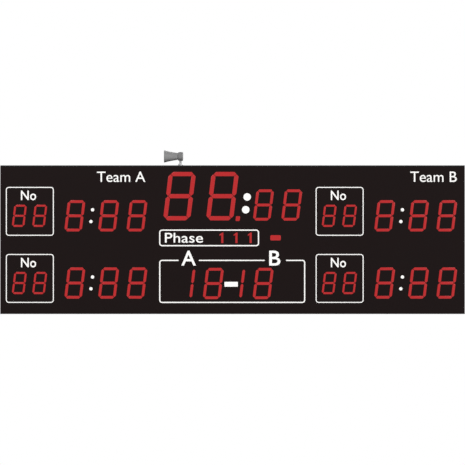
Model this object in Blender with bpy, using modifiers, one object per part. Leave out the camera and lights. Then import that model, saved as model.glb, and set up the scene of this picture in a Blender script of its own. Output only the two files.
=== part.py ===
"""Wall-hung ice hockey scoreboard: a shallow cabinet with a top-hinged front door, LED digit
groups behind red lenses, two folding door stays, quarter-turn latches and an aimable horn on top.

Frame: +X to the right as the spectators see it, +Z up, the wall is the plane y = 0 and the
front looks along -Y. The origin is the middle of the wall rail's rear face. Metres.
"""

import math
from dataclasses import dataclass

import bmesh
import bpy
from mathutils import Matrix

# Cabinet
CABINET_WIDTH = 3.000
CABINET_HEIGHT = 0.960
CABINET_DEPTH = 0.100
WALL_GAP = 0.030
RAIL_DROP = 0.120
SEAT = 0.0003
PROFILE_WALL = 0.003
PROFILE_FLANGE = 0.025
BACK_SHEET = 0.002
VENT_COUNT = 6
VENT_LENGTH = 0.050
VENT_WIDTH = 0.006
VENT_PITCH = 0.016
VENT_DROP = 0.300

# Door
PANEL_THICKNESS = 0.003
DOOR_RAIL_DEPTH = 0.012
DOOR_RAIL_WIDTH = 0.012
DOOR_SIDE_RAIL_WIDTH = 0.025
DOOR_SIDE_CLEARANCE = 0.0025
DOOR_BOTTOM_CLEARANCE = 0.008
LENS_PLATE = 0.003
LENS_PROUD = 0.0006
LENS_FIT = 0.0003
LENS_MARGIN = 0.004

# Continuous door hinge along the top front edge
LEAF_THICKNESS = 0.0015
LEAF_WIDTH = 0.018
HINGE_PIN_RADIUS = 0.0015
HINGE_BORE_CLEARANCE = 0.0003
KNUCKLE_COUNT = 5
KNUCKLE_GAP = 0.0005

# Door stays: an arm hung on the door, whose roller pin runs in a channel on the end plate
STAY_PIVOT_DROP = 0.280
STAY_LENGTH = 0.300
STAY_SETBACK = 0.020
STAY_WIDTH = 0.012
STAY_THICKNESS = 0.003
STAY_PIN_RADIUS = 0.003
STAY_SIDE_GAP = 0.001
CHANNEL_WALL = 0.002
CHANNEL_INNER = 0.012
CHANNEL_DEPTH = 0.010
CHANNEL_TOP_DROP = 0.190
CHANNEL_OVERRUN = 0.025
EAR_THICKNESS = 0.003
EAR_HEIGHT = 0.016
EAR_ROOT = 0.002

# Quarter-turn latches in the underside
LATCH_SPACING = 1.000
LATCH_SETBACK = 0.060
LATCH_STEM_RADIUS = 0.004
LATCH_HEAD_RADIUS = 0.009
LATCH_HEAD_HEIGHT = 0.002
LATCH_FIT = 0.0004
CAM_LENGTH = 0.036
CAM_WIDTH = 0.012
CAM_THICKNESS = 0.003
CAM_HEIGHT = 0.014
CATCH_OFFSET = 0.018
CATCH_WIDTH = 0.020
CATCH_SHEET = 0.002
CATCH_RUNNING_GAP = 0.001
CATCH_FLOOR_GAP = 0.0055

# Digit groups. Margins are from the cabinet's edges, and gaps lie between neighbours' boxes.
SLANT = math.tan(math.radians(7.0))
BAR_GAP = 0.0025
CLOCK_DIGIT_HEIGHT = 0.313
CLOCK_DIGIT_WIDTH = 0.176
CLOCK_STROKE = 0.0275
TIMER_DIGIT_HEIGHT = 0.2015
TIMER_DIGIT_WIDTH = 0.1135
TIMER_STROKE = 0.0177
PLAYER_DIGIT_HEIGHT = 0.1432
PLAYER_DIGIT_WIDTH = 0.0813
PLAYER_STROKE = 0.0127
TIMER_GAP = 0.0695
CLOCK_MARGIN = 0.0425
CLOCK_GAP = 0.101
CLOCK_COLON_GAP = 0.1203
CLOCK_SHIFT = 0.0049
SECONDS_FALL = 0.0013
POINT_GAP = 0.0115
POINT_FALL = 0.0115
POINT_WIDTH = 0.027
POINT_HEIGHT = 0.031
POINT_CORNER = 0.006
PERIOD_GAP = 0.0785
PERIOD_FIRST_X = -0.066
PERIOD_PITCH = 0.0915
PERIOD_COUNT = 3
NUMERAL_HEIGHT = 0.068
NUMERAL_STEM = 0.014
NUMERAL_FLAG_WIDTH = 0.011
NUMERAL_FLAG_FALL = 0.013
NUMERAL_FLAG_THICKNESS = 0.009
DASH_GAP = 0.120
DASH_WIDTH = 0.068
DASH_HEIGHT = 0.034
DASH_CORNER = 0.008
SCORE_RISE = 0.197
SCORE_SHIFT = -0.0545
SCORE_TEAM_GAP = 0.0255
UPPER_ROW_RISE = 0.0295
LOWER_ROW_RISE = 0.200
HOME_MARGIN = 0.0828
GUEST_MARGIN = 0.0593
PLAYER_GAP = 0.0503
PLAYER_TO_TIME_GAP = 0.1296
PENALTY_COLON_GAP = 0.1045

# LED boards and what carries them
BOARD_THICKNESS = 0.0016
BOARD_SETBACK = 0.0304
BOARD_BORDER = 0.008
MODULE_RAIL_DEPTH = 0.012
MODULE_RAIL_HEIGHT = 0.020
MODULE_RAIL_LENGTH = 2.930
MODULE_RAIL_OFFSET = 0.080
CLOCK_RAIL_DROP = 0.070
POST_SPACING = 1.000
POST_WIDTH = 0.040
POST_WALL = 0.003

# Electrical boxes on the back sheets
SUPPLY_SIZE = (0.215, 0.040, 0.115)
SUPPLY_X = 0.800
CONTROLLER_SIZE = (0.180, 0.035, 0.130)
TERMINAL_SIZE = (0.120, 0.035, 0.080)
TERMINAL_X = 1.250
TERMINAL_RISE = 0.110
DUCT_SIZE = (0.920, 0.030, 0.040)
DUCT_WALL = 0.002
DUCT_RISE = 0.060
GLAND_RADIUS = 0.011
GLAND_HEAD_RADIUS = 0.0143
GLAND_BORE = 0.005
GLAND_DROP_OUT = 0.002
GLAND_RISE = 0.012

# Hanging on the wall
WALL_RAIL_LENGTH = 2.600
WALL_RAIL_HEIGHT = 0.060
WALL_RAIL_WALL = 0.003
HOOK_SLOT = 0.0075
HOOK_HEIGHT = 0.020
HOOK_SIDE_GAP = 0.001
HOOK_SHELF_GAP = 0.004
SPACER_SPACING = 2.000
SPACER_SIZE = (0.060, 0.040)
SPACER_RISE = 0.050

# Horn
HORN_DRIVER_X = -0.3375
HORN_HEIGHT = 0.059
HORN_Y = -0.080
DRIVER_RADIUS = 0.029
DRIVER_LENGTH = 0.035
DRIVER_CHAMFER = 0.006
BELL_LENGTH = 0.088
BELL_MOUTH_RADIUS = 0.0405
BELL_THROAT_RADIUS = 0.0225
BELL_WALL = 0.002
LEG_WIDTH = 0.016
LEG_THICKNESS = 0.003
LEG_GAP = 0.0015
TILT_STUD_RADIUS = 0.005
TILT_FIT = 0.0003
KNOB_RADIUS = 0.010
KNOB_LENGTH = 0.008
SWIVEL_RADIUS = 0.014
SWIVEL_THICKNESS = 0.003
PAN_STUD_RADIUS = 0.004
PAN_STUD_LENGTH = 0.005
FOOT_RADIUS = 0.016
FOOT_HEIGHT = 0.008

# Worked out from the sizes above
TOP = RAIL_DROP
BOTTOM = TOP - CABINET_HEIGHT
BACK = -WALL_GAP
FRONT = BACK - CABINET_DEPTH
HALF = CABINET_WIDTH / 2
END_INNER = HALF - PROFILE_WALL
INSIDE_HALF = END_INNER - SEAT
PANEL_REAR = FRONT + PANEL_THICKNESS
FRAME_FRONT = PANEL_REAR + 2 * SEAT
BACK_INNER = BACK - BACK_SHEET - SEAT
KNUCKLE_RADIUS = PANEL_THICKNESS + SEAT + LEAF_THICKNESS / 2
HINGE_Y = FRONT + KNUCKLE_RADIUS
HINGE_Z = TOP - KNUCKLE_RADIUS
HINGE_BORE = HINGE_PIN_RADIUS + HINGE_BORE_CLEARANCE
PANEL_TOP = HINGE_Z - KNUCKLE_RADIUS - KNUCKLE_GAP
DOOR_RAIL_FRONT = PANEL_REAR + SEAT
DOOR_RAIL_REAR = DOOR_RAIL_FRONT + DOOR_RAIL_DEPTH
DOOR_RAIL_TOP = HINGE_Z - LEAF_WIDTH - SEAT
DOOR_RAIL_BOTTOM = BOTTOM + DOOR_BOTTOM_CLEARANCE
BOARD_FRONT = FRONT + BOARD_SETBACK
BOARD_REAR = BOARD_FRONT + BOARD_THICKNESS
MODULE_RAIL_FRONT = BOARD_REAR + SEAT
MODULE_RAIL_REAR = MODULE_RAIL_FRONT + MODULE_RAIL_DEPTH
POST_FRONT = MODULE_RAIL_REAR + SEAT
POST_REAR = BACK_INNER - PROFILE_WALL - SEAT
STAY_Y = HINGE_Y + STAY_SETBACK
CLOCK_DROP = CLOCK_MARGIN + CLOCK_DIGIT_HEIGHT / 2
CLOCK_BOTTOM_DROP = CLOCK_MARGIN + CLOCK_DIGIT_HEIGHT
UPPER_ROW_DROP = CLOCK_BOTTOM_DROP - UPPER_ROW_RISE
SECONDS_DROP = CLOCK_BOTTOM_DROP + SECONDS_FALL - TIMER_DIGIT_HEIGHT / 2
POINT_DROP = CLOCK_BOTTOM_DROP - POINT_FALL
PERIOD_DROP = CLOCK_BOTTOM_DROP + PERIOD_GAP + NUMERAL_HEIGHT / 2
LOWER_ROW_DROP = CABINET_HEIGHT - LOWER_ROW_RISE
SCORE_DROP = CABINET_HEIGHT - SCORE_RISE
BETWEEN_ROWS_DROP = (UPPER_ROW_DROP + LOWER_ROW_DROP) / 2
MIDDLE_RAIL_DROP = UPPER_ROW_DROP + MODULE_RAIL_OFFSET
ROUND_STEPS = 24
SMALL_ROUND_STEPS = 16
PIN_STEPS = 12
BELL_STEPS = 6
ARC_STEPS = 3
WELD_DISTANCE = 0.000001
SCREW_WELD_DISTANCE = 0.00001
SMOOTH_ANGLE = math.radians(35.0)


@dataclass(frozen=True)
class DigitStyle:
    """A seven-bar digit: its height and width across the bars, and a bar's thickness."""

    height: float
    width: float
    stroke: float


CLOCK_DIGIT = DigitStyle(CLOCK_DIGIT_HEIGHT, CLOCK_DIGIT_WIDTH, CLOCK_STROKE)
TIMER_DIGIT = DigitStyle(TIMER_DIGIT_HEIGHT, TIMER_DIGIT_WIDTH, TIMER_STROKE)
PLAYER_DIGIT = DigitStyle(PLAYER_DIGIT_HEIGHT, PLAYER_DIGIT_WIDTH, PLAYER_STROKE)

ALL_BARS = "abcdefg"
ONE_BARS = "bc"


def clear_scene():
    """Removes what the start-up file holds, and the objects of an earlier run."""
    for old in list(bpy.data.objects):
        bpy.data.objects.remove(old, do_unlink=True)


def new_collection(name):
    """A collection in the scene for the parts or for their cutters."""
    collection = bpy.data.collections.new(name)
    bpy.context.scene.collection.children.link(collection)
    return collection


def paint(name, color, roughness, metallic=0.0):
    """A Principled material for one kind of part."""
    material = bpy.data.materials.new(name)
    material.use_nodes = True
    shader = material.node_tree.nodes["Principled BSDF"]
    shader.inputs["Base Color"].default_value = (*color, 1.0)
    shader.inputs["Roughness"].default_value = roughness
    shader.inputs["Metallic"].default_value = metallic
    return material


clear_scene()
PARTS = new_collection("ice_hockey_scoreboard")
CUTTERS = new_collection("cutters")

# Finishes: base colour, roughness and, for bare metal, metallic
PANEL_FINISH = ((0.015, 0.011, 0.010), 0.45)
PAINT_FINISH = ((0.018, 0.018, 0.018), 0.5)
PLASTIC_FINISH = ((0.018, 0.018, 0.018), 0.8)
ALUMINIUM_FINISH = ((0.60, 0.61, 0.62), 0.4, 1.0)
STEEL_FINISH = ((0.45, 0.45, 0.46), 0.3, 1.0)
LENS_FINISH = ((0.61, 0.026, 0.030), 0.25)
BOARD_FINISH = ((0.02, 0.12, 0.05), 0.5)
HORN_FINISH = ((0.22, 0.22, 0.22), 0.5)
BOX_FINISH = ((0.30, 0.31, 0.32), 0.6)


def add_part(name, data, color, roughness, metallic=0.0, collection=PARTS):
    """Links a mesh or curve as one named part with a material of its own."""
    part = bpy.data.objects.new(name, data)
    collection.objects.link(part)
    data.materials.clear()
    data.materials.append(paint(name + "_finish", color, roughness, metallic))
    return part


def make_cutter(cutter):
    """Marks an object as a cutter: it shapes other parts and isn't one itself."""
    cutter.hide_render = True
    cutter.display_type = "WIRE"
    return cutter


def block_mesh(low, high):
    """A box mesh between two corners, in world coordinates."""
    size = [b - a for a, b in zip(low, high)]
    middle = [(a + b) / 2 for a, b in zip(low, high)]
    shape = bmesh.new()
    place = Matrix.Translation(middle) @ Matrix.Diagonal((*size, 1.0))
    bmesh.ops.create_cube(shape, size=1.0, matrix=place)
    mesh = bpy.data.meshes.new("block")
    shape.to_mesh(mesh)
    shape.free()
    return mesh


def block(name, low, high, *finish):
    """A plain rectangular part."""
    return add_part(name, block_mesh(low, high), *finish)


def outline_curve(outlines, thickness):
    """A flat filled curve: the first outline is the edge and the others are holes or islands."""
    curve = bpy.data.curves.new("outline", "CURVE")
    curve.dimensions = "2D"
    curve.fill_mode = "BOTH"
    curve.extrude = thickness / 2
    for outline in outlines:
        spline = curve.splines.new("POLY")
        spline.points.add(len(outline) - 1)
        for point, (u, v) in zip(spline.points, outline):
            point.co = (u, v, 0.0, 1.0)
        spline.use_cyclic_u = True
    return curve


def upright_plate(name, outlines, y_front, y_rear, *finish):
    """A plate that faces the spectators, from outlines in X and Z."""
    plate = add_part(name, outline_curve(outlines, y_rear - y_front), *finish)
    plate.rotation_euler = (math.pi / 2, 0.0, 0.0)
    plate.location.y = (y_front + y_rear) / 2
    return plate


def lengthwise(name, outlines, x_left, x_right, *finish):
    """An extrusion along X, from outlines in Y and Z."""
    bar = add_part(name, outline_curve(outlines, x_right - x_left), *finish)
    bar.rotation_euler = (math.pi / 2, 0.0, math.pi / 2)
    bar.location.x = (x_left + x_right) / 2
    return bar


def standing(name, outlines, z_low, z_high, *finish):
    """An extrusion along Z, from outlines in X and Y."""
    bar = add_part(name, outline_curve(outlines, z_high - z_low), *finish)
    bar.location.z = (z_low + z_high) / 2
    return bar


def as_mesh(part):
    """Turns a part into a welded mesh of the same name and place, smooth where it is round."""
    bpy.context.view_layer.update()
    seen = part.evaluated_get(bpy.context.evaluated_depsgraph_get())
    mesh = bpy.data.meshes.new_from_object(seen)
    shape = bmesh.new()
    shape.from_mesh(mesh)
    bmesh.ops.remove_doubles(shape, verts=shape.verts, dist=WELD_DISTANCE)
    shape.to_mesh(mesh)
    shape.free()
    mesh.shade_smooth()
    mesh.set_sharp_from_angle(angle=SMOOTH_ANGLE)
    name, home, place = part.name, part.users_collection[0], part.matrix_world.copy()
    bpy.data.objects.remove(part, do_unlink=True)
    solid = bpy.data.objects.new(name, mesh)
    home.objects.link(solid)
    solid.matrix_world = place
    return solid


def combine(part, other, operation):
    """Cuts, joins or keeps what is common of a part and another object, which becomes a cutter."""
    for home in list(other.users_collection):
        home.objects.unlink(other)
    CUTTERS.objects.link(make_cutter(other))
    boolean = part.modifiers.new(operation.lower(), "BOOLEAN")
    boolean.operation = operation
    boolean.solver = "EXACT"
    boolean.object = other
    return part


def turned(name, profile, steps, *finish):
    """A solid of revolution about Z: the profile of (radius, height) runs from top to bottom."""
    mesh = bpy.data.meshes.new(name)
    points = [(radius, 0.0, height) for radius, height in profile]
    edges = [(i, i + 1) for i in range(len(points) - 1)]
    mesh.from_pydata(points, edges, [])
    part = add_part(name, mesh, *finish)
    screw = part.modifiers.new("turn", "SCREW")
    screw.steps = screw.render_steps = steps
    screw.use_merge_vertices = True
    screw.merge_threshold = SCREW_WELD_DISTANCE
    return as_mesh(part)


def rod(name, radius, z_low, z_high, steps, *finish):
    """A plain round bar along Z."""
    profile = [(0.0, z_high), (radius, z_high), (radius, z_low), (0.0, z_low)]
    return turned(name, profile, steps, *finish)


def lay_along_x(part, x, y, z):
    """Turns a part made along Z to lie along X, its top towards +X, at a place."""
    part.rotation_euler = (0.0, math.pi / 2, 0.0)
    part.location = (x, y, z)
    return part


def lay_along_y(part, x, y, z):
    """Turns a part made along Z to lie along Y, its top towards +Y, at a place."""
    part.rotation_euler = (-math.pi / 2, 0.0, 0.0)
    part.location = (x, y, z)
    return part


def rectangle(u_low, u_high, v_low, v_high):
    """A rectangular outline."""
    return [(u_low, v_low), (u_high, v_low), (u_high, v_high), (u_low, v_high)]


def arc(u, v, radius, start, end, steps):
    """Points along an arc, from one angle to another in degrees."""
    turns = [math.radians(start + (end - start) * i / steps) for i in range(steps + 1)]
    return [(u + radius * math.cos(turn), v + radius * math.sin(turn)) for turn in turns]


def rounded(u, v, width, height, corner, slant=0.0, steps=ARC_STEPS):
    """A rectangle with round corners about (u, v), leaning by its slant."""
    du, dv = width / 2 - corner, height / 2 - corner
    corners = ((du, dv, 0.0), (-du, dv, 90.0), (-du, -dv, 180.0), (du, -dv, 270.0))
    points = []
    for cu, cv, start in corners:
        points += arc(cu, cv, corner, start, start + 90.0, steps)
    return [(u + pu + slant * pv, v + pv) for pu, pv in points]


def stadium(u, v_low, v_high, radius):
    """An upright slot outline with half-round ends about the points at v_low and v_high."""
    steps = SMALL_ROUND_STEPS // 2
    upper = arc(u, v_high, radius, 0.0, 180.0, steps)
    return upper + arc(u, v_low, radius, 180.0, 360.0, steps)


def circle(u, v, radius, steps):
    """A round outline."""
    return arc(u, v, radius, 0.0, 360.0 - 360.0 / steps, steps - 1)


def bar_outline(u, v, half_length, half_stroke, upright):
    """A digit bar: a hexagon with its points at the ends of its centre line."""
    flat = half_length - half_stroke
    corners = [
        (half_length, 0.0), (flat, half_stroke), (-flat, half_stroke),
        (-half_length, 0.0), (-flat, -half_stroke), (flat, -half_stroke),
    ]
    if upright:
        corners = [(-b, a) for a, b in corners]
    return [(u + a, v + b) for a, b in corners]


def digit_outlines(style, x, drop, bars=ALL_BARS, grow=0.0):
    """The bars of one digit centred at x and drop, each grown by a clearance all round."""
    half_stroke = style.stroke / 2
    across = style.width / 2 - half_stroke
    rise = style.height / 2 - half_stroke
    tip = BAR_GAP / math.sqrt(2) - grow * math.sqrt(2)
    places = {
        "a": (0.0, rise, False), "b": (across, rise / 2, True), "c": (across, -rise / 2, True),
        "d": (0.0, -rise, False), "e": (-across, -rise / 2, True), "f": (-across, rise / 2, True),
        "g": (0.0, 0.0, False),
    }
    outlines = []
    for bar in bars:
        u, v, upright = places[bar]
        half_length = (rise / 2 if upright else across) - tip
        corners = bar_outline(u, v, half_length, half_stroke + grow, upright)
        outlines.append([(x + a + SLANT * b, TOP - drop + b) for a, b in corners])
    return outlines


def numeral_outline(x, drop, grow=0.0):
    """An upright numeral one with a short flag at its top left."""
    right, left = NUMERAL_STEM / 2 + grow, -NUMERAL_STEM / 2 - grow
    high, low = NUMERAL_HEIGHT / 2 + grow, -NUMERAL_HEIGHT / 2 - grow
    flag = left - NUMERAL_FLAG_WIDTH
    flag_high = high - NUMERAL_FLAG_FALL
    flag_low = flag_high - NUMERAL_FLAG_THICKNESS - 2 * grow
    points = [
        (right, low), (right, high), (0.0, high), (flag, flag_high), (flag, flag_low),
        (left, flag_low + NUMERAL_FLAG_FALL / 2), (left, low),
    ]
    return [(x + u, TOP - drop + v) for u, v in points]


def spread(left, steps):
    """Centres of digits laid side by side: each step is a style and the gap before its digit."""
    centres = []
    edge = left
    for style, gap in steps:
        centres.append(edge + gap + style.width / 2)
        edge += gap + style.width
    return centres


def spread_width(steps):
    """How wide a run of digits is, with its gaps."""
    return sum(style.width + gap for style, gap in steps)


CLOCK_STEPS = [
    (CLOCK_DIGIT, 0.0), (CLOCK_DIGIT, CLOCK_GAP), (TIMER_DIGIT, CLOCK_COLON_GAP),
    (TIMER_DIGIT, TIMER_GAP),
]
SCORE_STEPS = [
    (TIMER_DIGIT, 0.0), (TIMER_DIGIT, TIMER_GAP), (TIMER_DIGIT, SCORE_TEAM_GAP),
    (TIMER_DIGIT, TIMER_GAP),
]
PENALTY_STEPS = [
    (PLAYER_DIGIT, 0.0), (PLAYER_DIGIT, PLAYER_GAP), (TIMER_DIGIT, PLAYER_TO_TIME_GAP),
    (TIMER_DIGIT, PENALTY_COLON_GAP), (TIMER_DIGIT, TIMER_GAP),
]


def clock_bars(grow=0.0):
    """Minutes, tenths point and seconds of the game clock."""
    centres = spread(CLOCK_SHIFT - spread_width(CLOCK_STEPS) / 2, CLOCK_STEPS)
    outlines = []
    for x in centres[:2]:
        outlines += digit_outlines(CLOCK_DIGIT, x, CLOCK_DROP, grow=grow)
    for x in centres[2:]:
        outlines += digit_outlines(TIMER_DIGIT, x, SECONDS_DROP, grow=grow)
    point = rounded(
        centres[1] + CLOCK_DIGIT_WIDTH / 2 + POINT_GAP, TOP - POINT_DROP,
        POINT_WIDTH + 2 * grow, POINT_HEIGHT + 2 * grow, POINT_CORNER + grow, SLANT,
    )
    return outlines + [point]


def period_bars(grow=0.0):
    """The period numerals and the dash lamp beside them."""
    places = [PERIOD_FIRST_X + i * PERIOD_PITCH for i in range(PERIOD_COUNT)]
    outlines = [numeral_outline(x, PERIOD_DROP, grow) for x in places]
    dash = rounded(
        places[-1] + NUMERAL_STEM / 2 + DASH_GAP + DASH_WIDTH / 2, TOP - PERIOD_DROP,
        DASH_WIDTH + 2 * grow, DASH_HEIGHT + 2 * grow, DASH_CORNER + grow,
    )
    return outlines + [dash]


def score_bars(grow=0.0):
    """Both scores: a fixed one of two bars, then a full digit, for each team."""
    outlines = []
    centres = spread(SCORE_SHIFT - spread_width(SCORE_STEPS) / 2, SCORE_STEPS)
    for x, bars in zip(centres, (ONE_BARS, ALL_BARS) * 2):
        outlines += digit_outlines(TIMER_DIGIT, x, SCORE_DROP, bars, grow)
    return outlines


def penalty_bars(left, drop, grow=0.0):
    """A player's number and the three digits of the penalty time beside it."""
    outlines = []
    for (style, _), x in zip(PENALTY_STEPS, spread(left, PENALTY_STEPS)):
        outlines += digit_outlines(style, x, drop, grow=grow)
    return outlines


def digit_groups(grow=0.0):
    """Every lit group by its name, with the outlines of its bars."""
    groups = {
        "clock": clock_bars(grow),
        "period": period_bars(grow),
        "score": score_bars(grow),
    }
    guest_left = HALF - GUEST_MARGIN - spread_width(PENALTY_STEPS)
    for side, left in (("home", HOME_MARGIN - HALF), ("guest", guest_left)):
        for row, drop in enumerate((UPPER_ROW_DROP, LOWER_ROW_DROP), start=1):
            groups[f"{side}_penalty_{row}"] = penalty_bars(left, drop, grow)
    return groups


def bounds(outlines, margin):
    """The rectangle round a group of outlines, with a margin."""
    us = [u for outline in outlines for u, _ in outline]
    vs = [v for outline in outlines for _, v in outline]
    return min(us) - margin, max(us) + margin, min(vs) - margin, max(vs) + margin


def build_front_panel():
    """The front panel: one sheet with a slot for every bar."""
    slots = [slot for group in digit_groups(LENS_FIT).values() for slot in group]
    edge = rectangle(-HALF, HALF, BOTTOM, PANEL_TOP)
    upright_plate("front_panel", [edge] + slots, FRONT, PANEL_REAR, *PANEL_FINISH)


def build_lenses():
    """A red lens behind each group: a plate whose raised bars fill the slots of the panel."""
    plate_front = PANEL_REAR + SEAT
    for name, bars in digit_groups().items():
        edge = rectangle(*bounds(bars, LENS_MARGIN))
        plate_rear = plate_front + LENS_PLATE
        plate = upright_plate(f"{name}_lens", [edge], plate_front, plate_rear, *LENS_FINISH)
        bars_rear = plate_front + LENS_PLATE / 2
        raised = upright_plate(
            f"{name}_bars", bars, FRONT - LENS_PROUD, bars_rear, *LENS_FINISH
        )
        combine(as_mesh(plate), as_mesh(raised), "UNION")


def build_boards():
    """A LED board behind each lens, seated on the module rails."""
    for name, bars in digit_groups().items():
        left, right, low, high = bounds(bars, LENS_MARGIN + BOARD_BORDER)
        if name == "period":
            high = TOP - MIDDLE_RAIL_DROP + MODULE_RAIL_HEIGHT / 2
        block(
            f"{name}_board", (left, BOARD_FRONT, low), (right, BOARD_REAR, high),
            *BOARD_FINISH,
        )


def channel_outline(u_low, u_high, v_low, v_high, wall):
    """A C section, open towards +v."""
    return [
        (u_low, v_low), (u_high, v_low), (u_high, v_high), (u_high - wall, v_high),
        (u_high - wall, v_low + wall), (u_low + wall, v_low + wall), (u_low + wall, v_high),
        (u_low, v_high),
    ]


def build_board_carriers():
    """Two posts on the profiles' rear flanges, and the module rails across them."""
    for side, sign in (("left", -1), ("right", 1)):
        x = sign * POST_SPACING / 2
        outline = channel_outline(
            x - POST_WIDTH / 2, x + POST_WIDTH / 2, POST_FRONT, POST_REAR, POST_WALL
        )
        standing(
            f"{side}_post", [outline], BOTTOM + PROFILE_WALL + SEAT, TOP - PROFILE_WALL - SEAT,
            *ALUMINIUM_FINISH,
        )
    rails = {
        "clock": (CLOCK_RAIL_DROP, POST_SPACING + POST_WIDTH),
        "upper": (UPPER_ROW_DROP - MODULE_RAIL_OFFSET, MODULE_RAIL_LENGTH),
        "middle": (MIDDLE_RAIL_DROP, MODULE_RAIL_LENGTH),
        "lower": (LOWER_ROW_DROP - MODULE_RAIL_OFFSET, MODULE_RAIL_LENGTH),
        "bottom": (LOWER_ROW_DROP + MODULE_RAIL_OFFSET, MODULE_RAIL_LENGTH),
    }
    for name, (drop, length) in rails.items():
        z = TOP - drop
        block(
            f"{name}_module_rail",
            (-length / 2, MODULE_RAIL_FRONT, z - MODULE_RAIL_HEIGHT / 2),
            (length / 2, MODULE_RAIL_REAR, z + MODULE_RAIL_HEIGHT / 2),
            *ALUMINIUM_FINISH,
        )


def build_profiles():
    """The top and bottom profiles, each a web with a flange for the back sheets."""
    web_front = HINGE_Y + KNUCKLE_RADIUS + SEAT
    wall = PROFILE_WALL
    top = [
        (web_front, TOP - wall), (BACK_INNER - wall, TOP - wall),
        (BACK_INNER - wall, TOP - PROFILE_FLANGE), (BACK_INNER, TOP - PROFILE_FLANGE),
        (BACK_INNER, TOP), (web_front, TOP),
    ]
    lengthwise("top_profile", [top], -INSIDE_HALF, INSIDE_HALF, *PAINT_FINISH)
    bottom = [
        (FRAME_FRONT, BOTTOM), (BACK_INNER, BOTTOM), (BACK_INNER, BOTTOM + PROFILE_FLANGE),
        (BACK_INNER - wall, BOTTOM + PROFILE_FLANGE), (BACK_INNER - wall, BOTTOM + wall),
        (FRAME_FRONT, BOTTOM + wall),
    ]
    profile = as_mesh(
        lengthwise("bottom_profile", [bottom], -INSIDE_HALF, INSIDE_HALF, *PAINT_FINISH)
    )
    for x in latch_places():
        bore_web(profile, "latch_hole", LATCH_STEM_RADIUS + LATCH_FIT, x, latch_y())
    bore_web(profile, "gland_hole", GLAND_RADIUS + SEAT, TERMINAL_X, gland_y())


def bore_web(profile, name, radius, x, y):
    """Cuts a round hole through the bottom profile's web."""
    reach = 2 * PROFILE_WALL
    hole = rod(name, radius, -reach, reach, SMALL_ROUND_STEPS, *PAINT_FINISH)
    hole.location = (x, y, BOTTOM)
    combine(profile, hole, "DIFFERENCE")


def build_end_plates():
    """The two end plates, with a row of vent slots."""
    middle = (FRAME_FRONT + BACK) / 2
    edge = rectangle(FRAME_FRONT, BACK, BOTTOM, TOP)
    slots = []
    for i in range(VENT_COUNT):
        z = TOP - VENT_DROP - i * VENT_PITCH
        slots.append(rounded(middle + VENT_PITCH, z, VENT_LENGTH, VENT_WIDTH, VENT_WIDTH / 2))
    lengthwise("left_end_plate", [edge] + slots, -HALF, -END_INNER, *PAINT_FINISH)
    lengthwise("right_end_plate", [edge] + slots, END_INNER, HALF, *PAINT_FINISH)


def build_back_sheets():
    """Three back sheets that meet on the posts."""
    joint = POST_SPACING / 2
    spans = {
        "left": (-INSIDE_HALF, -joint - SEAT),
        "centre": (-joint, joint),
        "right": (joint + SEAT, INSIDE_HALF),
    }
    for name, (left, right) in spans.items():
        block(
            f"{name}_back_panel", (left, BACK - BACK_SHEET, BOTTOM), (right, BACK, TOP),
            *PAINT_FINISH,
        )


def build_door_rails():
    """Four stiffening rails on the rear of the front panel; the side rails hold the stay pivots."""
    outer = END_INNER - DOOR_SIDE_CLEARANCE
    inner = outer - DOOR_SIDE_RAIL_WIDTH
    ends = {
        "top": (DOOR_RAIL_TOP - DOOR_RAIL_WIDTH, DOOR_RAIL_TOP),
        "bottom": (DOOR_RAIL_BOTTOM, DOOR_RAIL_BOTTOM + DOOR_RAIL_WIDTH),
    }
    for name, (low, high) in ends.items():
        block(
            f"door_{name}_rail", (SEAT - inner, DOOR_RAIL_FRONT, low),
            (inner - SEAT, DOOR_RAIL_REAR, high), *ALUMINIUM_FINISH,
        )
    for side, sign in (("left", -1), ("right", 1)):
        rail = block(
            f"door_{side}_rail",
            (min(sign * outer, sign * inner), DOOR_RAIL_FRONT, DOOR_RAIL_BOTTOM),
            (max(sign * outer, sign * inner), DOOR_RAIL_REAR, DOOR_RAIL_TOP), *ALUMINIUM_FINISH,
        )
        add_stay_ear(rail, sign)


def stay_x():
    """Distances from the middle of the arm's outer and inner faces, outside the ear."""
    outer = END_INNER - SEAT - CHANNEL_DEPTH - STAY_SIDE_GAP
    return outer, outer - STAY_THICKNESS


def add_stay_ear(rail, sign):
    """Joins an ear with the stay's pivot pin to the rear of a side rail."""
    arm_outer, arm_inner = stay_x()
    ear_outer = arm_inner - STAY_SIDE_GAP
    ear_inner = ear_outer - EAR_THICKNESS
    pivot_z = HINGE_Z - STAY_PIVOT_DROP
    reach = STAY_Y + STAY_WIDTH / 2
    left, right = sorted((sign * ear_outer, sign * ear_inner))
    ear = block(
        "stay_ear", (left, DOOR_RAIL_REAR - EAR_ROOT, pivot_z - EAR_HEIGHT / 2),
        (right, reach, pivot_z + EAR_HEIGHT / 2), *ALUMINIUM_FINISH,
    )
    combine(rail, ear, "UNION")
    pin_end = arm_outer + STAY_SIDE_GAP / 2
    pin_length = pin_end - ear_inner - EAR_THICKNESS / 2
    pin = rod(
        "stay_pivot_pin", STAY_PIN_RADIUS, -pin_length / 2, pin_length / 2, SMALL_ROUND_STEPS,
        *STEEL_FINISH,
    )
    lay_along_x(pin, sign * (pin_end - pin_length / 2), STAY_Y, pivot_z)
    combine(rail, pin, "UNION")


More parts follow.
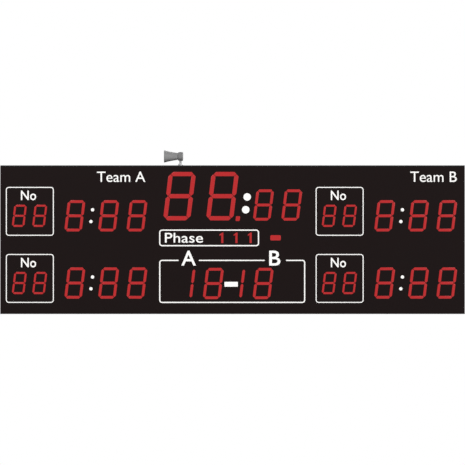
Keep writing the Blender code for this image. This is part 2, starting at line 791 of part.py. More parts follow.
def build_stays():
    """The stay arms and the channels on the end plates that their roller pins run in."""
    arm_outer, arm_inner = stay_x()
    pivot_z = HINGE_Z - STAY_PIVOT_DROP
    roller_z = pivot_z - STAY_LENGTH
    channel_low = roller_z - CHANNEL_OVERRUN
    channel_high = HINGE_Z - CHANNEL_TOP_DROP
    half = CHANNEL_INNER / 2 + CHANNEL_WALL
    for side, sign in (("left", -1), ("right", 1)):
        outer, inner = sign * INSIDE_HALF, sign * (INSIDE_HALF - CHANNEL_DEPTH)
        web = sign * (INSIDE_HALF - CHANNEL_WALL)
        outline = [
            (outer, STAY_Y - half), (inner, STAY_Y - half), (inner, STAY_Y - half + CHANNEL_WALL),
            (web, STAY_Y - half + CHANNEL_WALL), (web, STAY_Y + half - CHANNEL_WALL),
            (inner, STAY_Y + half - CHANNEL_WALL), (inner, STAY_Y + half), (outer, STAY_Y + half),
        ]
        standing(f"{side}_stay_channel", [outline], channel_low, channel_high, *ALUMINIUM_FINISH)
        left, right = sorted((sign * arm_outer, sign * arm_inner))
        shape = stadium(STAY_Y, roller_z, pivot_z, STAY_WIDTH / 2)
        hole = circle(STAY_Y, pivot_z, STAY_PIN_RADIUS + TILT_FIT, PIN_STEPS)
        arm = as_mesh(lengthwise(f"{side}_stay_arm", [shape, hole], left, right, *STEEL_FINISH))
        pin_end = INSIDE_HALF - CHANNEL_WALL - STAY_SIDE_GAP
        pin_length = pin_end - (arm_outer + arm_inner) / 2
        pin = rod(
            "stay_roller_pin", STAY_PIN_RADIUS, -pin_length / 2, pin_length / 2,
            SMALL_ROUND_STEPS, *STEEL_FINISH,
        )
        lay_along_x(pin, sign * (pin_end - pin_length / 2), STAY_Y, roller_z)
        combine(arm, pin, "UNION")


def knuckle_spans():
    """Start and end of each hinge knuckle along X."""
    pitch = 2 * INSIDE_HALF / KNUCKLE_COUNT
    starts = [-INSIDE_HALF + i * pitch for i in range(KNUCKLE_COUNT)]
    return [(start + KNUCKLE_GAP / 2, start + pitch - KNUCKLE_GAP / 2) for start in starts]


def leaf_outline(hangs):
    """A hinge leaf's section: a knuckle with a strip that runs back, or down where it hangs."""
    half = LEAF_THICKNESS / 2
    edge = math.degrees(math.asin(half / KNUCKLE_RADIUS))
    ring = arc(0.0, 0.0, KNUCKLE_RADIUS, edge, 360.0 - edge, SMALL_ROUND_STEPS)
    outline = ring + [(LEAF_WIDTH, -half), (LEAF_WIDTH, half)]
    bore = circle(0.0, 0.0, HINGE_BORE, PIN_STEPS)
    if hangs:
        outline = [(v, -u) for u, v in outline]
    return [[(HINGE_Y + u, HINGE_Z + v) for u, v in line] for line in (outline, bore)]


def build_hinge():
    """The continuous hinge: a leaf under the top profile, a leaf on the door, and the pin."""
    reach = KNUCKLE_RADIUS + KNUCKLE_GAP
    for name, hangs, first in (("cabinet_hinge_leaf", False, 1), ("door_hinge_leaf", True, 0)):
        leaf = as_mesh(
            lengthwise(name, leaf_outline(hangs), -INSIDE_HALF, INSIDE_HALF, *STEEL_FINISH)
        )
        for start, end in knuckle_spans()[first::2]:
            low = (start - KNUCKLE_GAP, HINGE_Y - reach, HINGE_Z - reach)
            high = (end + KNUCKLE_GAP, HINGE_Y + reach, HINGE_Z + reach)
            gap = add_part("knuckle_gap", block_mesh(low, high), *STEEL_FINISH)
            combine(leaf, gap, "DIFFERENCE")
    pin = rod("hinge_pin", HINGE_PIN_RADIUS, -INSIDE_HALF, INSIDE_HALF, PIN_STEPS, *STEEL_FINISH)
    lay_along_x(pin, 0.0, HINGE_Y, HINGE_Z)


def latch_places():
    """The latches' places along X."""
    return [i * LATCH_SPACING for i in (-1, 0, 1)]


def latch_y():
    """The latches' place in depth, behind the panel."""
    return FRONT + LATCH_SETBACK


def gland_y():
    """The cable gland's place in depth, under the terminal box."""
    return BACK_INNER - TERMINAL_SIZE[1] / 2


def build_latches():
    """Three quarter-turn latches through the bottom profile, and their catches on the door."""
    for name, x in zip(("left", "centre", "right"), latch_places()):
        y = latch_y()
        cam_low = BOTTOM + CAM_HEIGHT
        cam_top = cam_low + CAM_THICKNESS
        cam_shape = stadium(0.0, -CAM_LENGTH + CAM_WIDTH / 2, 0.0, CAM_WIDTH / 2)
        latch = as_mesh(
            standing(f"{name}_latch", [cam_shape], cam_low, cam_top, *STEEL_FINISH)
        )
        latch.location = (x, y, cam_low + CAM_THICKNESS / 2)
        head_top = -SEAT
        profile = [
            (0.0, CAM_HEIGHT + CAM_THICKNESS / 2), (LATCH_STEM_RADIUS, CAM_HEIGHT + CAM_THICKNESS / 2),
            (LATCH_STEM_RADIUS, head_top), (LATCH_HEAD_RADIUS, head_top),
            (LATCH_HEAD_RADIUS, head_top - LATCH_HEAD_HEIGHT), (0.0, head_top - LATCH_HEAD_HEIGHT),
        ]
        stem = turned("latch_stem", profile, SMALL_ROUND_STEPS, *STEEL_FINISH)
        stem.location = (x, y, BOTTOM)
        combine(latch, stem, "UNION")
        build_catch(f"{name}_catch", x)


def build_catch(name, latch_x):
    """A bent strip on the door's bottom rail, with a lip behind the latch's cam."""
    sheet = CATCH_SHEET
    front = DOOR_RAIL_REAR + SEAT
    floor = BOTTOM + PROFILE_WALL + CATCH_FLOOR_GAP
    lip = latch_y() + CAM_WIDTH / 2 + CATCH_RUNNING_GAP
    lip_top = BOTTOM + CAM_HEIGHT + CAM_THICKNESS + CATCH_SHEET
    foot_top = DOOR_RAIL_BOTTOM + DOOR_RAIL_WIDTH
    outline = [
        (front, floor), (lip + sheet, floor), (lip + sheet, lip_top), (lip, lip_top),
        (lip, floor + sheet), (front + sheet, floor + sheet), (front + sheet, foot_top),
        (front, foot_top),
    ]
    left = latch_x + CATCH_OFFSET
    lengthwise(name, [outline], left, left + CATCH_WIDTH, *STEEL_FINISH)


def seated_box(name, x, drop, size, *finish):
    """A box that stands on the back sheets' inner face, centred at x and drop."""
    width, depth, height = size
    z = TOP - drop
    low = (x - width / 2, BACK_INNER - depth, z - height / 2)
    high = (x + width / 2, BACK_INNER, z + height / 2)
    return block(name, low, high, *finish)


def build_electrics():
    """Power supplies, controller, terminal box, wiring duct and cable gland."""
    drop = BETWEEN_ROWS_DROP
    seated_box("left_power_supply", -SUPPLY_X, drop, SUPPLY_SIZE, *ALUMINIUM_FINISH)
    seated_box("right_power_supply", SUPPLY_X, drop, SUPPLY_SIZE, *ALUMINIUM_FINISH)
    seated_box("controller_box", 0.0, drop, CONTROLLER_SIZE, *BOX_FINISH)
    terminal_drop = CABINET_HEIGHT - TERMINAL_RISE
    seated_box("terminal_box", TERMINAL_X, terminal_drop, TERMINAL_SIZE, *BOX_FINISH)
    width, depth, height = DUCT_SIZE
    z = BOTTOM + DUCT_RISE
    outline = [
        (BACK_INNER, z - height / 2), (BACK_INNER, z + height / 2),
        (BACK_INNER - depth, z + height / 2), (BACK_INNER - depth, z + height / 2 - DUCT_WALL),
        (BACK_INNER - DUCT_WALL, z + height / 2 - DUCT_WALL),
        (BACK_INNER - DUCT_WALL, z - height / 2 + DUCT_WALL),
        (BACK_INNER - depth, z - height / 2 + DUCT_WALL), (BACK_INNER - depth, z - height / 2),
    ]
    lengthwise("cable_duct", [outline], -width / 2, width / 2, *BOX_FINISH)
    profile = [
        (GLAND_BORE, GLAND_RISE), (GLAND_RADIUS, GLAND_RISE), (GLAND_RADIUS, -SEAT),
        (GLAND_HEAD_RADIUS, -SEAT), (GLAND_HEAD_RADIUS, -GLAND_DROP_OUT),
        (GLAND_BORE, -GLAND_DROP_OUT), (GLAND_BORE, GLAND_RISE),
    ]
    gland = turned("cable_gland", profile, SMALL_ROUND_STEPS, *PLASTIC_FINISH)
    gland.location = (TERMINAL_X, gland_y(), BOTTOM)


def build_wall_fixings():
    """The hooked wall rail, the rail on the cabinet that hangs in it, and two lower spacers."""
    wall = WALL_RAIL_WALL
    half = WALL_RAIL_LENGTH / 2
    slot_front = -wall - HOOK_SLOT
    wall_rail = [
        (0.0, -WALL_RAIL_HEIGHT / 2), (0.0, WALL_RAIL_HEIGHT / 2), (-wall, WALL_RAIL_HEIGHT / 2),
        (-wall, wall), (slot_front, wall), (slot_front, HOOK_HEIGHT),
        (slot_front - wall, HOOK_HEIGHT), (slot_front - wall, 0.0), (-wall, 0.0),
        (-wall, -WALL_RAIL_HEIGHT / 2),
    ]
    lengthwise("wall_rail", [wall_rail], -half, half, *ALUMINIUM_FINISH)
    plate = BACK + SEAT
    shelf = HOOK_HEIGHT + HOOK_SHELF_GAP
    lip = slot_front + HOOK_SIDE_GAP
    hanging_rail = [
        (plate, shelf + wall), (plate, -WALL_RAIL_HEIGHT / 2), (plate + wall, -WALL_RAIL_HEIGHT / 2),
        (plate + wall, shelf), (lip, shelf), (lip, wall + SEAT), (lip + wall, wall + SEAT),
        (lip + wall, shelf + wall),
    ]
    lengthwise("hanging_rail", [hanging_rail], -half, half, *ALUMINIUM_FINISH)
    width, height = SPACER_SIZE
    for side, sign in (("left", -1), ("right", 1)):
        x = sign * SPACER_SPACING / 2
        low = (x - width / 2, plate, BOTTOM + SPACER_RISE)
        high = (x + width / 2, 0.0, BOTTOM + SPACER_RISE + height)
        block(f"{side}_wall_spacer", low, high, *PLASTIC_FINISH)


def bell_profile():
    """The bell's wall from mouth to throat and back: its radius grows by a steady ratio."""
    ratio = BELL_MOUTH_RADIUS / BELL_THROAT_RADIUS
    outer = []
    for i in range(BELL_STEPS + 1):
        share = i / BELL_STEPS
        outer.append((BELL_THROAT_RADIUS * ratio ** (1 - share), BELL_LENGTH * (1 - share)))
    inner = [(radius - BELL_WALL, height) for radius, height in reversed(outer)]
    return outer + inner + outer[:1]


def build_horn():
    """The horn: a driver and its bell, which tilt on a leg that turns on a foot."""
    axis_z = TOP + HORN_HEIGHT
    driver_front = HORN_DRIVER_X - DRIVER_LENGTH / 2
    bell = turned("horn_bell", bell_profile(), ROUND_STEPS, *HORN_FINISH)
    bell.rotation_euler = (0.0, -math.pi / 2, 0.0)
    bell.location = (driver_front - SEAT, HORN_Y, axis_z)
    half = DRIVER_LENGTH / 2
    profile = [
        (0.0, half), (BELL_THROAT_RADIUS, half), (DRIVER_RADIUS, half - DRIVER_CHAMFER),
        (DRIVER_RADIUS, -half + BELL_WALL), (DRIVER_RADIUS - BELL_WALL, -half), (0.0, -half),
    ]
    driver = turned("horn_driver", profile, ROUND_STEPS, *HORN_FINISH)
    driver.rotation_euler = (0.0, -math.pi / 2, 0.0)
    driver.location = (HORN_DRIVER_X, HORN_Y, axis_z)
    leg_front = HORN_Y + DRIVER_RADIUS + LEG_GAP
    leg_rear = leg_front + LEG_THICKNESS
    knob_front = leg_rear + SEAT
    knob_rear = knob_front + KNOB_LENGTH
    stud_profile = [
        (0.0, knob_rear), (KNOB_RADIUS, knob_rear), (KNOB_RADIUS, knob_front),
        (TILT_STUD_RADIUS, knob_front), (TILT_STUD_RADIUS, HORN_Y + DRIVER_RADIUS / 2),
        (0.0, HORN_Y + DRIVER_RADIUS / 2),
    ]
    stud = turned("tilt_stud", stud_profile, SMALL_ROUND_STEPS, *HORN_FINISH)
    lay_along_y(stud, HORN_DRIVER_X, 0.0, axis_z)
    combine(driver, stud, "UNION")
    build_horn_bracket(leg_front, leg_rear, axis_z)


def build_horn_bracket(leg_front, leg_rear, axis_z):
    """The turning leg behind the driver, with a stud below it, and the foot on the cabinet."""
    foot_low = TOP + SEAT
    foot_high = foot_low + FOOT_HEIGHT
    disc_low = foot_high + SEAT
    disc_high = disc_low + SWIVEL_THICKNESS
    pan_y = (leg_front + leg_rear) / 2
    finish = STEEL_FINISH
    half = LEG_WIDTH / 2
    left, right = HORN_DRIVER_X - half, HORN_DRIVER_X + half
    outline = [(left, disc_low + SWIVEL_THICKNESS / 2), (right, disc_low + SWIVEL_THICKNESS / 2)]
    outline += arc(HORN_DRIVER_X, axis_z, half, 0.0, 180.0, SMALL_ROUND_STEPS // 2)
    hole = circle(HORN_DRIVER_X, axis_z, TILT_STUD_RADIUS + TILT_FIT, SMALL_ROUND_STEPS)
    leg = as_mesh(upright_plate("horn_leg", [outline, hole], leg_front, leg_rear, *finish))
    disc_profile = [
        (0.0, disc_high), (SWIVEL_RADIUS, disc_high), (SWIVEL_RADIUS, disc_low),
        (PAN_STUD_RADIUS, disc_low), (PAN_STUD_RADIUS, disc_low - PAN_STUD_LENGTH),
        (0.0, disc_low - PAN_STUD_LENGTH),
    ]
    disc = turned("pan_disc", disc_profile, SMALL_ROUND_STEPS, *finish)
    disc.location = (HORN_DRIVER_X, pan_y, 0.0)
    combine(leg, disc, "UNION")
    bore = PAN_STUD_RADIUS + TILT_FIT
    bore_floor = disc_low - PAN_STUD_LENGTH - SEAT
    foot_profile = [
        (0.0, bore_floor), (bore, bore_floor), (bore, foot_high), (FOOT_RADIUS, foot_high),
        (FOOT_RADIUS, foot_low), (0.0, foot_low),
    ]
    foot = turned("horn_foot", foot_profile, ROUND_STEPS, *finish)
    foot.location = (HORN_DRIVER_X, pan_y, 0.0)


def main():
    """Builds the scoreboard from its cabinet outwards."""
    build_profiles()
    build_end_plates()
    build_back_sheets()
    build_board_carriers()
    build_boards()
    build_electrics()
    build_wall_fixings()
    build_front_panel()
    build_lenses()
    build_door_rails()
    build_hinge()
    build_stays()
    build_latches()
    build_horn()


main()
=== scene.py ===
"""Looks of a wall-hung ice hockey scoreboard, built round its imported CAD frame.

The black front keeps its CAD sheet and gets lit red lenses, white vinyl printing, LED boards with
domes and chips behind it, fasteners, a spun horn, and a procedural finish on every surface.
Metres. The wall is the plane y = 0, the spectators look along +Y, and +Z is up.
"""

from __future__ import annotations

import logging
import math
from collections.abc import Callable, Iterable, Sequence
from dataclasses import dataclass, field, replace
from enum import Enum

import bpy
import numpy as np
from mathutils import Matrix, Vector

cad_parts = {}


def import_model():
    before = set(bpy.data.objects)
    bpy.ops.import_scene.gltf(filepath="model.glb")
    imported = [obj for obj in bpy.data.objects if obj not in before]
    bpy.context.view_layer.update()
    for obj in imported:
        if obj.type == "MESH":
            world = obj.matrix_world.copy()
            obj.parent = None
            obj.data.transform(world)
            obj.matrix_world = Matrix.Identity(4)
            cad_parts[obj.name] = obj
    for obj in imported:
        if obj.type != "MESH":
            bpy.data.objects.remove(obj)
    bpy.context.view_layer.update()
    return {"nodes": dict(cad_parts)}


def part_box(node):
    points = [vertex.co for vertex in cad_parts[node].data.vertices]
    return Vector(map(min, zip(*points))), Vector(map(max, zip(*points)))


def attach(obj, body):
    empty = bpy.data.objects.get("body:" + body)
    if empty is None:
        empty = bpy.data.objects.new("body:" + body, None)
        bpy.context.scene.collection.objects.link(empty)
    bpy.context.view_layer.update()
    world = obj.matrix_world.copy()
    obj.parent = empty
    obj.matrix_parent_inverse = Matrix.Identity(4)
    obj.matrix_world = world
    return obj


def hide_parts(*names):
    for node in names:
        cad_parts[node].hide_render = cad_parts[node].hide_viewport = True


LOG = logging.getLogger("scoreboard")

SLANT = math.tan(math.radians(7.0))
BAR_GAP = 0.0025
TOUCH = 0.0001
SMOOTH_ANGLE = math.radians(32.0)

# How much farther from the middle a hexagon's corners are than its flats, as a share.
HEX_CORNER = 0.1547

SIDES = ("left", "centre", "right")
MODULE_RAILS = tuple(
    f"{place}_module_rail" for place in ("clock", "upper", "middle", "lower", "bottom")
)

Color = tuple[float, float, float]
Place = tuple[float, float, float]
Mapping = Callable[[np.ndarray], np.ndarray]


class Value:
    """A shader socket: arithmetic on it adds Math nodes to its graph."""

    def __init__(self, graph: Graph, socket: bpy.types.NodeSocket) -> None:
        """Wraps the output socket that carries the value."""
        self.graph = graph
        self.socket = socket

    def math(self, operation: str, *others: Value | float, clamp: bool = False) -> Value:
        """One Math node with this value as its first input.

        Args:
            operation: Blender's name of the operation.
            others: the other inputs, as values or numbers.
            clamp: whether the result is kept from 0 to 1.

        Returns:
            The node's result.
        """
        settings = {"operation": operation, "use_clamp": clamp}
        node = self.graph.node("ShaderNodeMath", settings, dict(enumerate((self, *others))))
        return Value(self.graph, node.outputs[0])

    def __add__(self, other: Value | float) -> Value:
        """The sum."""
        return self.math("ADD", other)

    def __sub__(self, other: Value | float) -> Value:
        """The difference."""
        return self.math("SUBTRACT", other)

    def __mul__(self, other: Value | float) -> Value:
        """The product."""
        return self.math("MULTIPLY", other)

    def __truediv__(self, other: Value | float) -> Value:
        """The quotient."""
        return self.math("DIVIDE", other)

    def __rsub__(self, other: float) -> Value:
        """A number less this value."""
        return self.math("MULTIPLY_ADD", -1.0, other)

    __radd__ = __add__
    __rmul__ = __mul__

    def above(self, edge: float, width: float) -> Value:
        """Rises from 0 to 1 as this value goes from half a width below an edge to half above."""
        return ((self - (edge - width / 2)) / width).math("ADD", 0.0, clamp=True)

    def below(self, edge: float, width: float) -> Value:
        """Falls from 1 to 0 as this value passes an edge."""
        return 1.0 - self.above(edge, width)

    def wave(self, pitch: float) -> Value:
        """Distance to the middle of the nearest of a row of cells, from 0 to half a pitch."""
        return (self.math("PINGPONG", pitch / 2) - pitch / 2).math("ABSOLUTE")


class Graph:
    """The node graph of a material or of the surroundings."""

    def __init__(self, owner: bpy.types.Material | bpy.types.World) -> None:
        """Starts an empty graph.

        Args:
            owner: the material or the surroundings that it belongs to.
        """
        owner.use_nodes = True
        self.owner = owner
        self.tree = owner.node_tree
        self.tree.nodes.clear()

    def node(
        self, kind: str, settings: dict[str, object] | None = None,
        inputs: dict[str | int, object] | None = None,
    ) -> bpy.types.Node:
        """Adds a node.

        Args:
            kind: the node's Blender type.
            settings: what is set on the node itself, before its inputs.
            inputs: numbers, colours, sockets or values, by the input's name or number.

        Returns:
            The new node.
        """
        node = self.tree.nodes.new(kind)
        for name, setting in (settings or {}).items():
            setattr(node, name, setting)
        for name, given in (inputs or {}).items():
            source = given.socket if isinstance(given, Value) else given
            if isinstance(source, bpy.types.NodeSocket):
                self.tree.links.new(source, node.inputs[name])
            else:
                node.inputs[name].default_value = source
        return node

    def place(self) -> bpy.types.NodeSocket:
        """A point's place on the object, in metres."""
        return self.node("ShaderNodeTexCoord").outputs["Object"]

    def axes(self, source: bpy.types.NodeSocket) -> tuple[Value, Value, Value]:
        """The three parts of a vector."""
        split = self.node("ShaderNodeSeparateXYZ", None, {0: source})
        return tuple(Value(self, socket) for socket in split.outputs)

    def stretched(self, stretch: Color) -> bpy.types.NodeSocket:
        """Places scaled along each axis, for streaks.

        Args:
            stretch: a factor for each axis; a small one draws the pattern out.

        Returns:
            The scaled place.
        """
        return self.node(
            "ShaderNodeMapping", None, {"Vector": self.place(), "Scale": stretch}
        ).outputs[0]

    def noise(
        self, scale: float, detail: float = 3.0, stretch: Color = (1.0, 1.0, 1.0)
    ) -> Value:
        """Cloudy noise, about 0.5 in the mean."""
        inputs = {"Vector": self.stretched(stretch), "Scale": scale, "Detail": detail}
        return Value(self, self.node("ShaderNodeTexNoise", None, inputs).outputs["Fac"])

    def attribute(self, name: str) -> Value:
        """A number that the mesh carries at each point."""
        node = self.node("ShaderNodeAttribute", {"attribute_name": name})
        return Value(self, node.outputs["Fac"])

    def mix(self, share: Value | float, first: object, second: object) -> bpy.types.NodeSocket:
        """A mix of two colours.

        Args:
            share: 0 for the first colour, 1 for the second.
            first: a colour, as a socket or three numbers.
            second: the other colour.

        Returns:
            The mixed colour.
        """
        settings = {"data_type": "RGBA"}
        inputs = {0: share, 6: opaque(first), 7: opaque(second)}
        return self.node("ShaderNodeMix", settings, inputs).outputs[2]

    def bump(self, height: Value, depth: float, strength: float = 1.0) -> bpy.types.NodeSocket:
        """A normal from a height that goes from 0 to 1 over a depth in metres."""
        inputs = {"Height": height, "Distance": depth, "Strength": strength}
        return self.node("ShaderNodeBump", None, inputs).outputs[0]

    def surface(self, inputs: dict[str, object]) -> bpy.types.Material:
        """Ends the graph in a Principled shader.

        Args:
            inputs: its inputs by name; a colour may be given as three numbers.

        Returns:
            The finished material.
        """
        fixed = {name: opaque(given) for name, given in inputs.items()}
        shader = self.node("ShaderNodeBsdfPrincipled", None, fixed)
        self.node("ShaderNodeOutputMaterial", None, {0: shader.outputs[0]})
        return self.owner


def material_graph(name: str) -> Graph:
    """The empty graph of a new material."""
    return Graph(bpy.data.materials.new(name))


def opaque(given: object) -> object:
    """A colour of three numbers with an alpha of 1, or anything else as it is."""
    return (*given, 1.0) if isinstance(given, tuple) and len(given) == 3 else given


def toned(color: Color, factor: float) -> Color:
    """A colour with each of its parts times a factor."""
    return tuple(part * factor for part in color)


class Grain(Enum):
    """Which way a rolled, drawn or brushed metal's streaks run."""

    ALONG_X = (0.02, 1.0, 1.0)
    ALONG_Z = (1.0, 1.0, 0.02)
    NONE = (1.0, 1.0, 1.0)


@dataclass(frozen=True)
class Coating:
    """Paint, powder coat or moulded plastic: clouded colour over a fine stipple."""

    name: str
    color: Color
    roughness: float
    specular: float = 0.5
    stipple: float = 1400.0
    depth: float = 0.00004
    clouding: float = 0.12

    def build(self) -> bpy.types.Material:
        """Makes the material.

        Returns:
            A mix of a darker and a lighter tone, over a stippled normal.
        """
        graph = material_graph(self.name)
        cloud = graph.noise(7.0, 4.0)
        speck = graph.noise(self.stipple, 2.0)
        dark = toned(self.color, 1.0 - self.clouding)
        light = toned(self.color, 1.0 + self.clouding)
        return graph.surface({
            "Base Color": graph.mix(cloud * 0.7 + speck * 0.3, dark, light),
            "Roughness": cloud * 0.10 + speck * 0.06 + (self.roughness - 0.08),
            "Specular IOR Level": self.specular,
            "Normal": graph.bump(speck, self.depth),
        })


@dataclass(frozen=True)
class CabinetCoat:
    """Black powder coat, dusty on the cabinet's top and rubbed bare in spots on its edges."""

    name: str = "black_powder_coat"
    color: Color = (0.010, 0.010, 0.010)
    bare: Color = (0.17, 0.17, 0.175)
    dust: Color = (0.085, 0.080, 0.072)
    half_width: float = 1.5
    top: float = 0.120
    bottom: float = -0.840
    back: float = -0.030
    edge: float = 0.0016

    def build(self) -> bpy.types.Material:
        """Makes the material. Scuffs show where noise passes a limit close to an end or an edge.

        Returns:
            The coat, with the dust and the rubbed spots mixed in.
        """
        graph = material_graph(self.name)
        x, y, z = graph.axes(graph.place())
        cloud = graph.noise(7.0, 4.0)
        speck = graph.noise(900.0, 2.0)
        side = x.math("ABSOLUTE").above(self.half_width - self.edge, 0.001)
        upper = z.above(self.top - self.edge, 0.001)
        lower = z.below(self.bottom + self.edge, 0.001)
        rear = y.above(self.back - self.edge, 0.001)
        corner = (side * (upper + lower + rear) + rear * (upper + lower)).math(
            "ADD", 0.0, clamp=True
        )
        rubbed = corner * graph.noise(46.0, 8.0).above(0.62, 0.02)
        settled = z.above(self.top - 0.0004, 0.0004) * graph.noise(16.0, 6.0).above(0.45, 0.5)
        dark, light = toned(self.color, 0.8), toned(self.color, 1.25)
        paint = graph.mix(cloud * 0.6 + speck * 0.4, dark, light)
        dusty = graph.mix(settled * 0.5, paint, self.dust)
        return graph.surface({
            "Base Color": graph.mix(rubbed, dusty, self.bare),
            "Metallic": rubbed * 0.9,
            "Roughness": cloud * 0.10 + settled * 0.12 + speck * 0.06 + 0.46,
            "Specular IOR Level": 0.30,
            "Normal": graph.bump(speck, 0.0001),
        })


@dataclass(frozen=True)
class Metal:
    """Bare metal with streaks along its grain and a faint tarnish."""

    name: str
    color: Color
    roughness: float
    grain: Grain = Grain.NONE
    streak_scale: float = 900.0
    tarnish: float = 0.15

    def build(self) -> bpy.types.Material:
        """Makes the material.

        Returns:
            The metal, with its roughness and bump drawn out along the grain.
        """
        graph = material_graph(self.name)
        streak = graph.noise(self.streak_scale, 3.0, self.grain.value)
        cloud = graph.noise(22.0, 5.0)
        dull = toned(self.color, 1.0 - self.tarnish)
        return graph.surface({
            "Base Color": graph.mix(cloud * 0.6 + streak * 0.4, dull, self.color),
            "Metallic": 1.0,
            "Roughness": streak * 0.14 + cloud * 0.10 + (self.roughness - 0.12),
            "Normal": graph.bump(streak, 0.00002),
        })


@dataclass(frozen=True)
class LitLens:
    """Red diffusing acrylic, brighter over each LED behind a bar.

    The UV map counts LEDs along a bar and half strokes across it. Its attribute glow is 1 on the
    bars and 0 on the plate that carries them.
    """

    name: str = "lit_red_acrylic"
    color: Color = (0.246, 0.0060, 0.0070)
    light: Color = (0.250, 0.0086, 0.0096)
    dim: Color = (0.02, 0.0004, 0.0004)
    hot: float = 0.26

    def build(self) -> bpy.types.Material:
        """Makes the material.

        Returns:
            The acrylic, with its light in the emission.
        """
        graph = material_graph(self.name)
        along, across, _ = graph.axes(graph.node("ShaderNodeUVMap").outputs[0])
        from_led = along.wave(1.0)
        spot = from_led.below(0.22, 0.4) * across.math("ABSOLUTE").below(0.5, 0.9)
        glow = graph.attribute("glow")
        cloud = graph.noise(60.0, 3.0)
        share = (spot * self.hot + cloud * 0.06 + (0.94 - self.hot)) * glow
        return graph.surface({
            "Base Color": graph.mix(cloud, self.color, toned(self.color, 0.86)),
            "Roughness": cloud * 0.12 + 0.24,
            "Specular IOR Level": 0.3,
            "Emission Color": graph.mix(share, self.dim, self.light),
            "Emission Strength": 1.0,
            "Normal": graph.bump(graph.noise(420.0, 2.0), 0.00006),
        })


@dataclass(frozen=True)
class LedEpoxy:
    """A red LED's tinted epoxy: its attribute glow is 1 at the lit tip and 0 at the foot."""

    name: str = "led_epoxy"
    color: Color = (0.42, 0.006, 0.008)
    light: Color = (0.95, 0.085, 0.05)
    dim: Color = (0.05, 0.001, 0.001)

    def build(self) -> bpy.types.Material:
        """Makes the material.

        Returns:
            The epoxy, with its light in the emission.
        """
        graph = material_graph(self.name)
        glow = graph.attribute("glow")
        cloud = graph.noise(300.0, 2.0)
        return graph.surface({
            "Base Color": graph.mix(cloud, self.color, toned(self.color, 0.8)),
            "Roughness": cloud * 0.05 + 0.12,
            "Emission Color": graph.mix(glow, self.dim, self.light),
            "Emission Strength": 1.0,
        })


@dataclass(frozen=True)
class SolderMask:
    """A green circuit board: tracks under the mask, in blocks that run one way or the other."""

    name: str = "solder_mask"
    mask: Color = (0.008, 0.075, 0.030)
    track: Color = (0.016, 0.135, 0.052)
    stain: Color = (0.004, 0.04, 0.02)
    pitch: float = 0.0024
    block: float = 24.0

    def build(self) -> bpy.types.Material:
        """Makes the material.

        Returns:
            The mask, raised where a track lies under it.
        """
        graph = material_graph(self.name)
        x, _, z = graph.axes(graph.place())
        inputs = {"Vector": graph.stretched((1.0, 0.0, 1.0)), "Scale": self.block}
        settings = {"distance": "CHEBYCHEV"}
        patch = graph.node("ShaderNodeTexVoronoi", settings, inputs).outputs["Color"]
        turn, gate, _ = graph.axes(patch)
        width = self.pitch * 0.16
        level = x.wave(self.pitch).below(width, width * 0.3)
        upright = z.wave(self.pitch).below(width, width * 0.3)
        flow = turn.above(0.5, 0.01)
        tracks = (level * flow + upright * (1.0 - flow)) * gate.above(0.3, 0.01)
        cloud = graph.noise(40.0, 3.0)
        base = graph.mix(tracks, self.mask, self.track)
        return graph.surface({
            "Base Color": graph.mix(cloud * 0.3, base, self.stain),
            "Roughness": cloud * 0.12 + 0.26,
            "Normal": graph.bump(tracks, 0.00004),
        })


@dataclass(frozen=True)
class PerforatedSteel:
    """A power supply's cover: bright sheet with rows of small vent holes, each painted dark as
    painted shade.
    """

    name: str = "perforated_cover"
    color: Color = (0.66, 0.67, 0.68)
    # painted shade for the dark inside of each vent hole
    hole_shade: Color = (0.01, 0.01, 0.01)
    pitch: float = 0.0075
    hole: float = 0.0021

    def build(self) -> bpy.types.Material:
        """Makes the material.

        Returns:
            The sheet, with painted shade and a sunk bump where a hole is.
        """
        graph = material_graph(self.name)
        x, _, z = graph.axes(graph.place())
        dx, dz = x.wave(self.pitch), z.wave(self.pitch)
        distance = (dx * dx + dz * dz).math("SQRT")
        # where this hole mask is 1, the colour is painted shade standing for the inside of a hole
        hole = distance.below(self.hole, self.hole * 0.3)
        streak = graph.noise(700.0, 3.0, Grain.ALONG_X.value)
        return graph.surface({
            "Base Color": graph.mix(hole, self.color, self.hole_shade),
            "Metallic": 1.0 - hole,
            "Roughness": streak * 0.15 + 0.24,
            "Normal": graph.bump(1.0 - hole, 0.0006),
        })


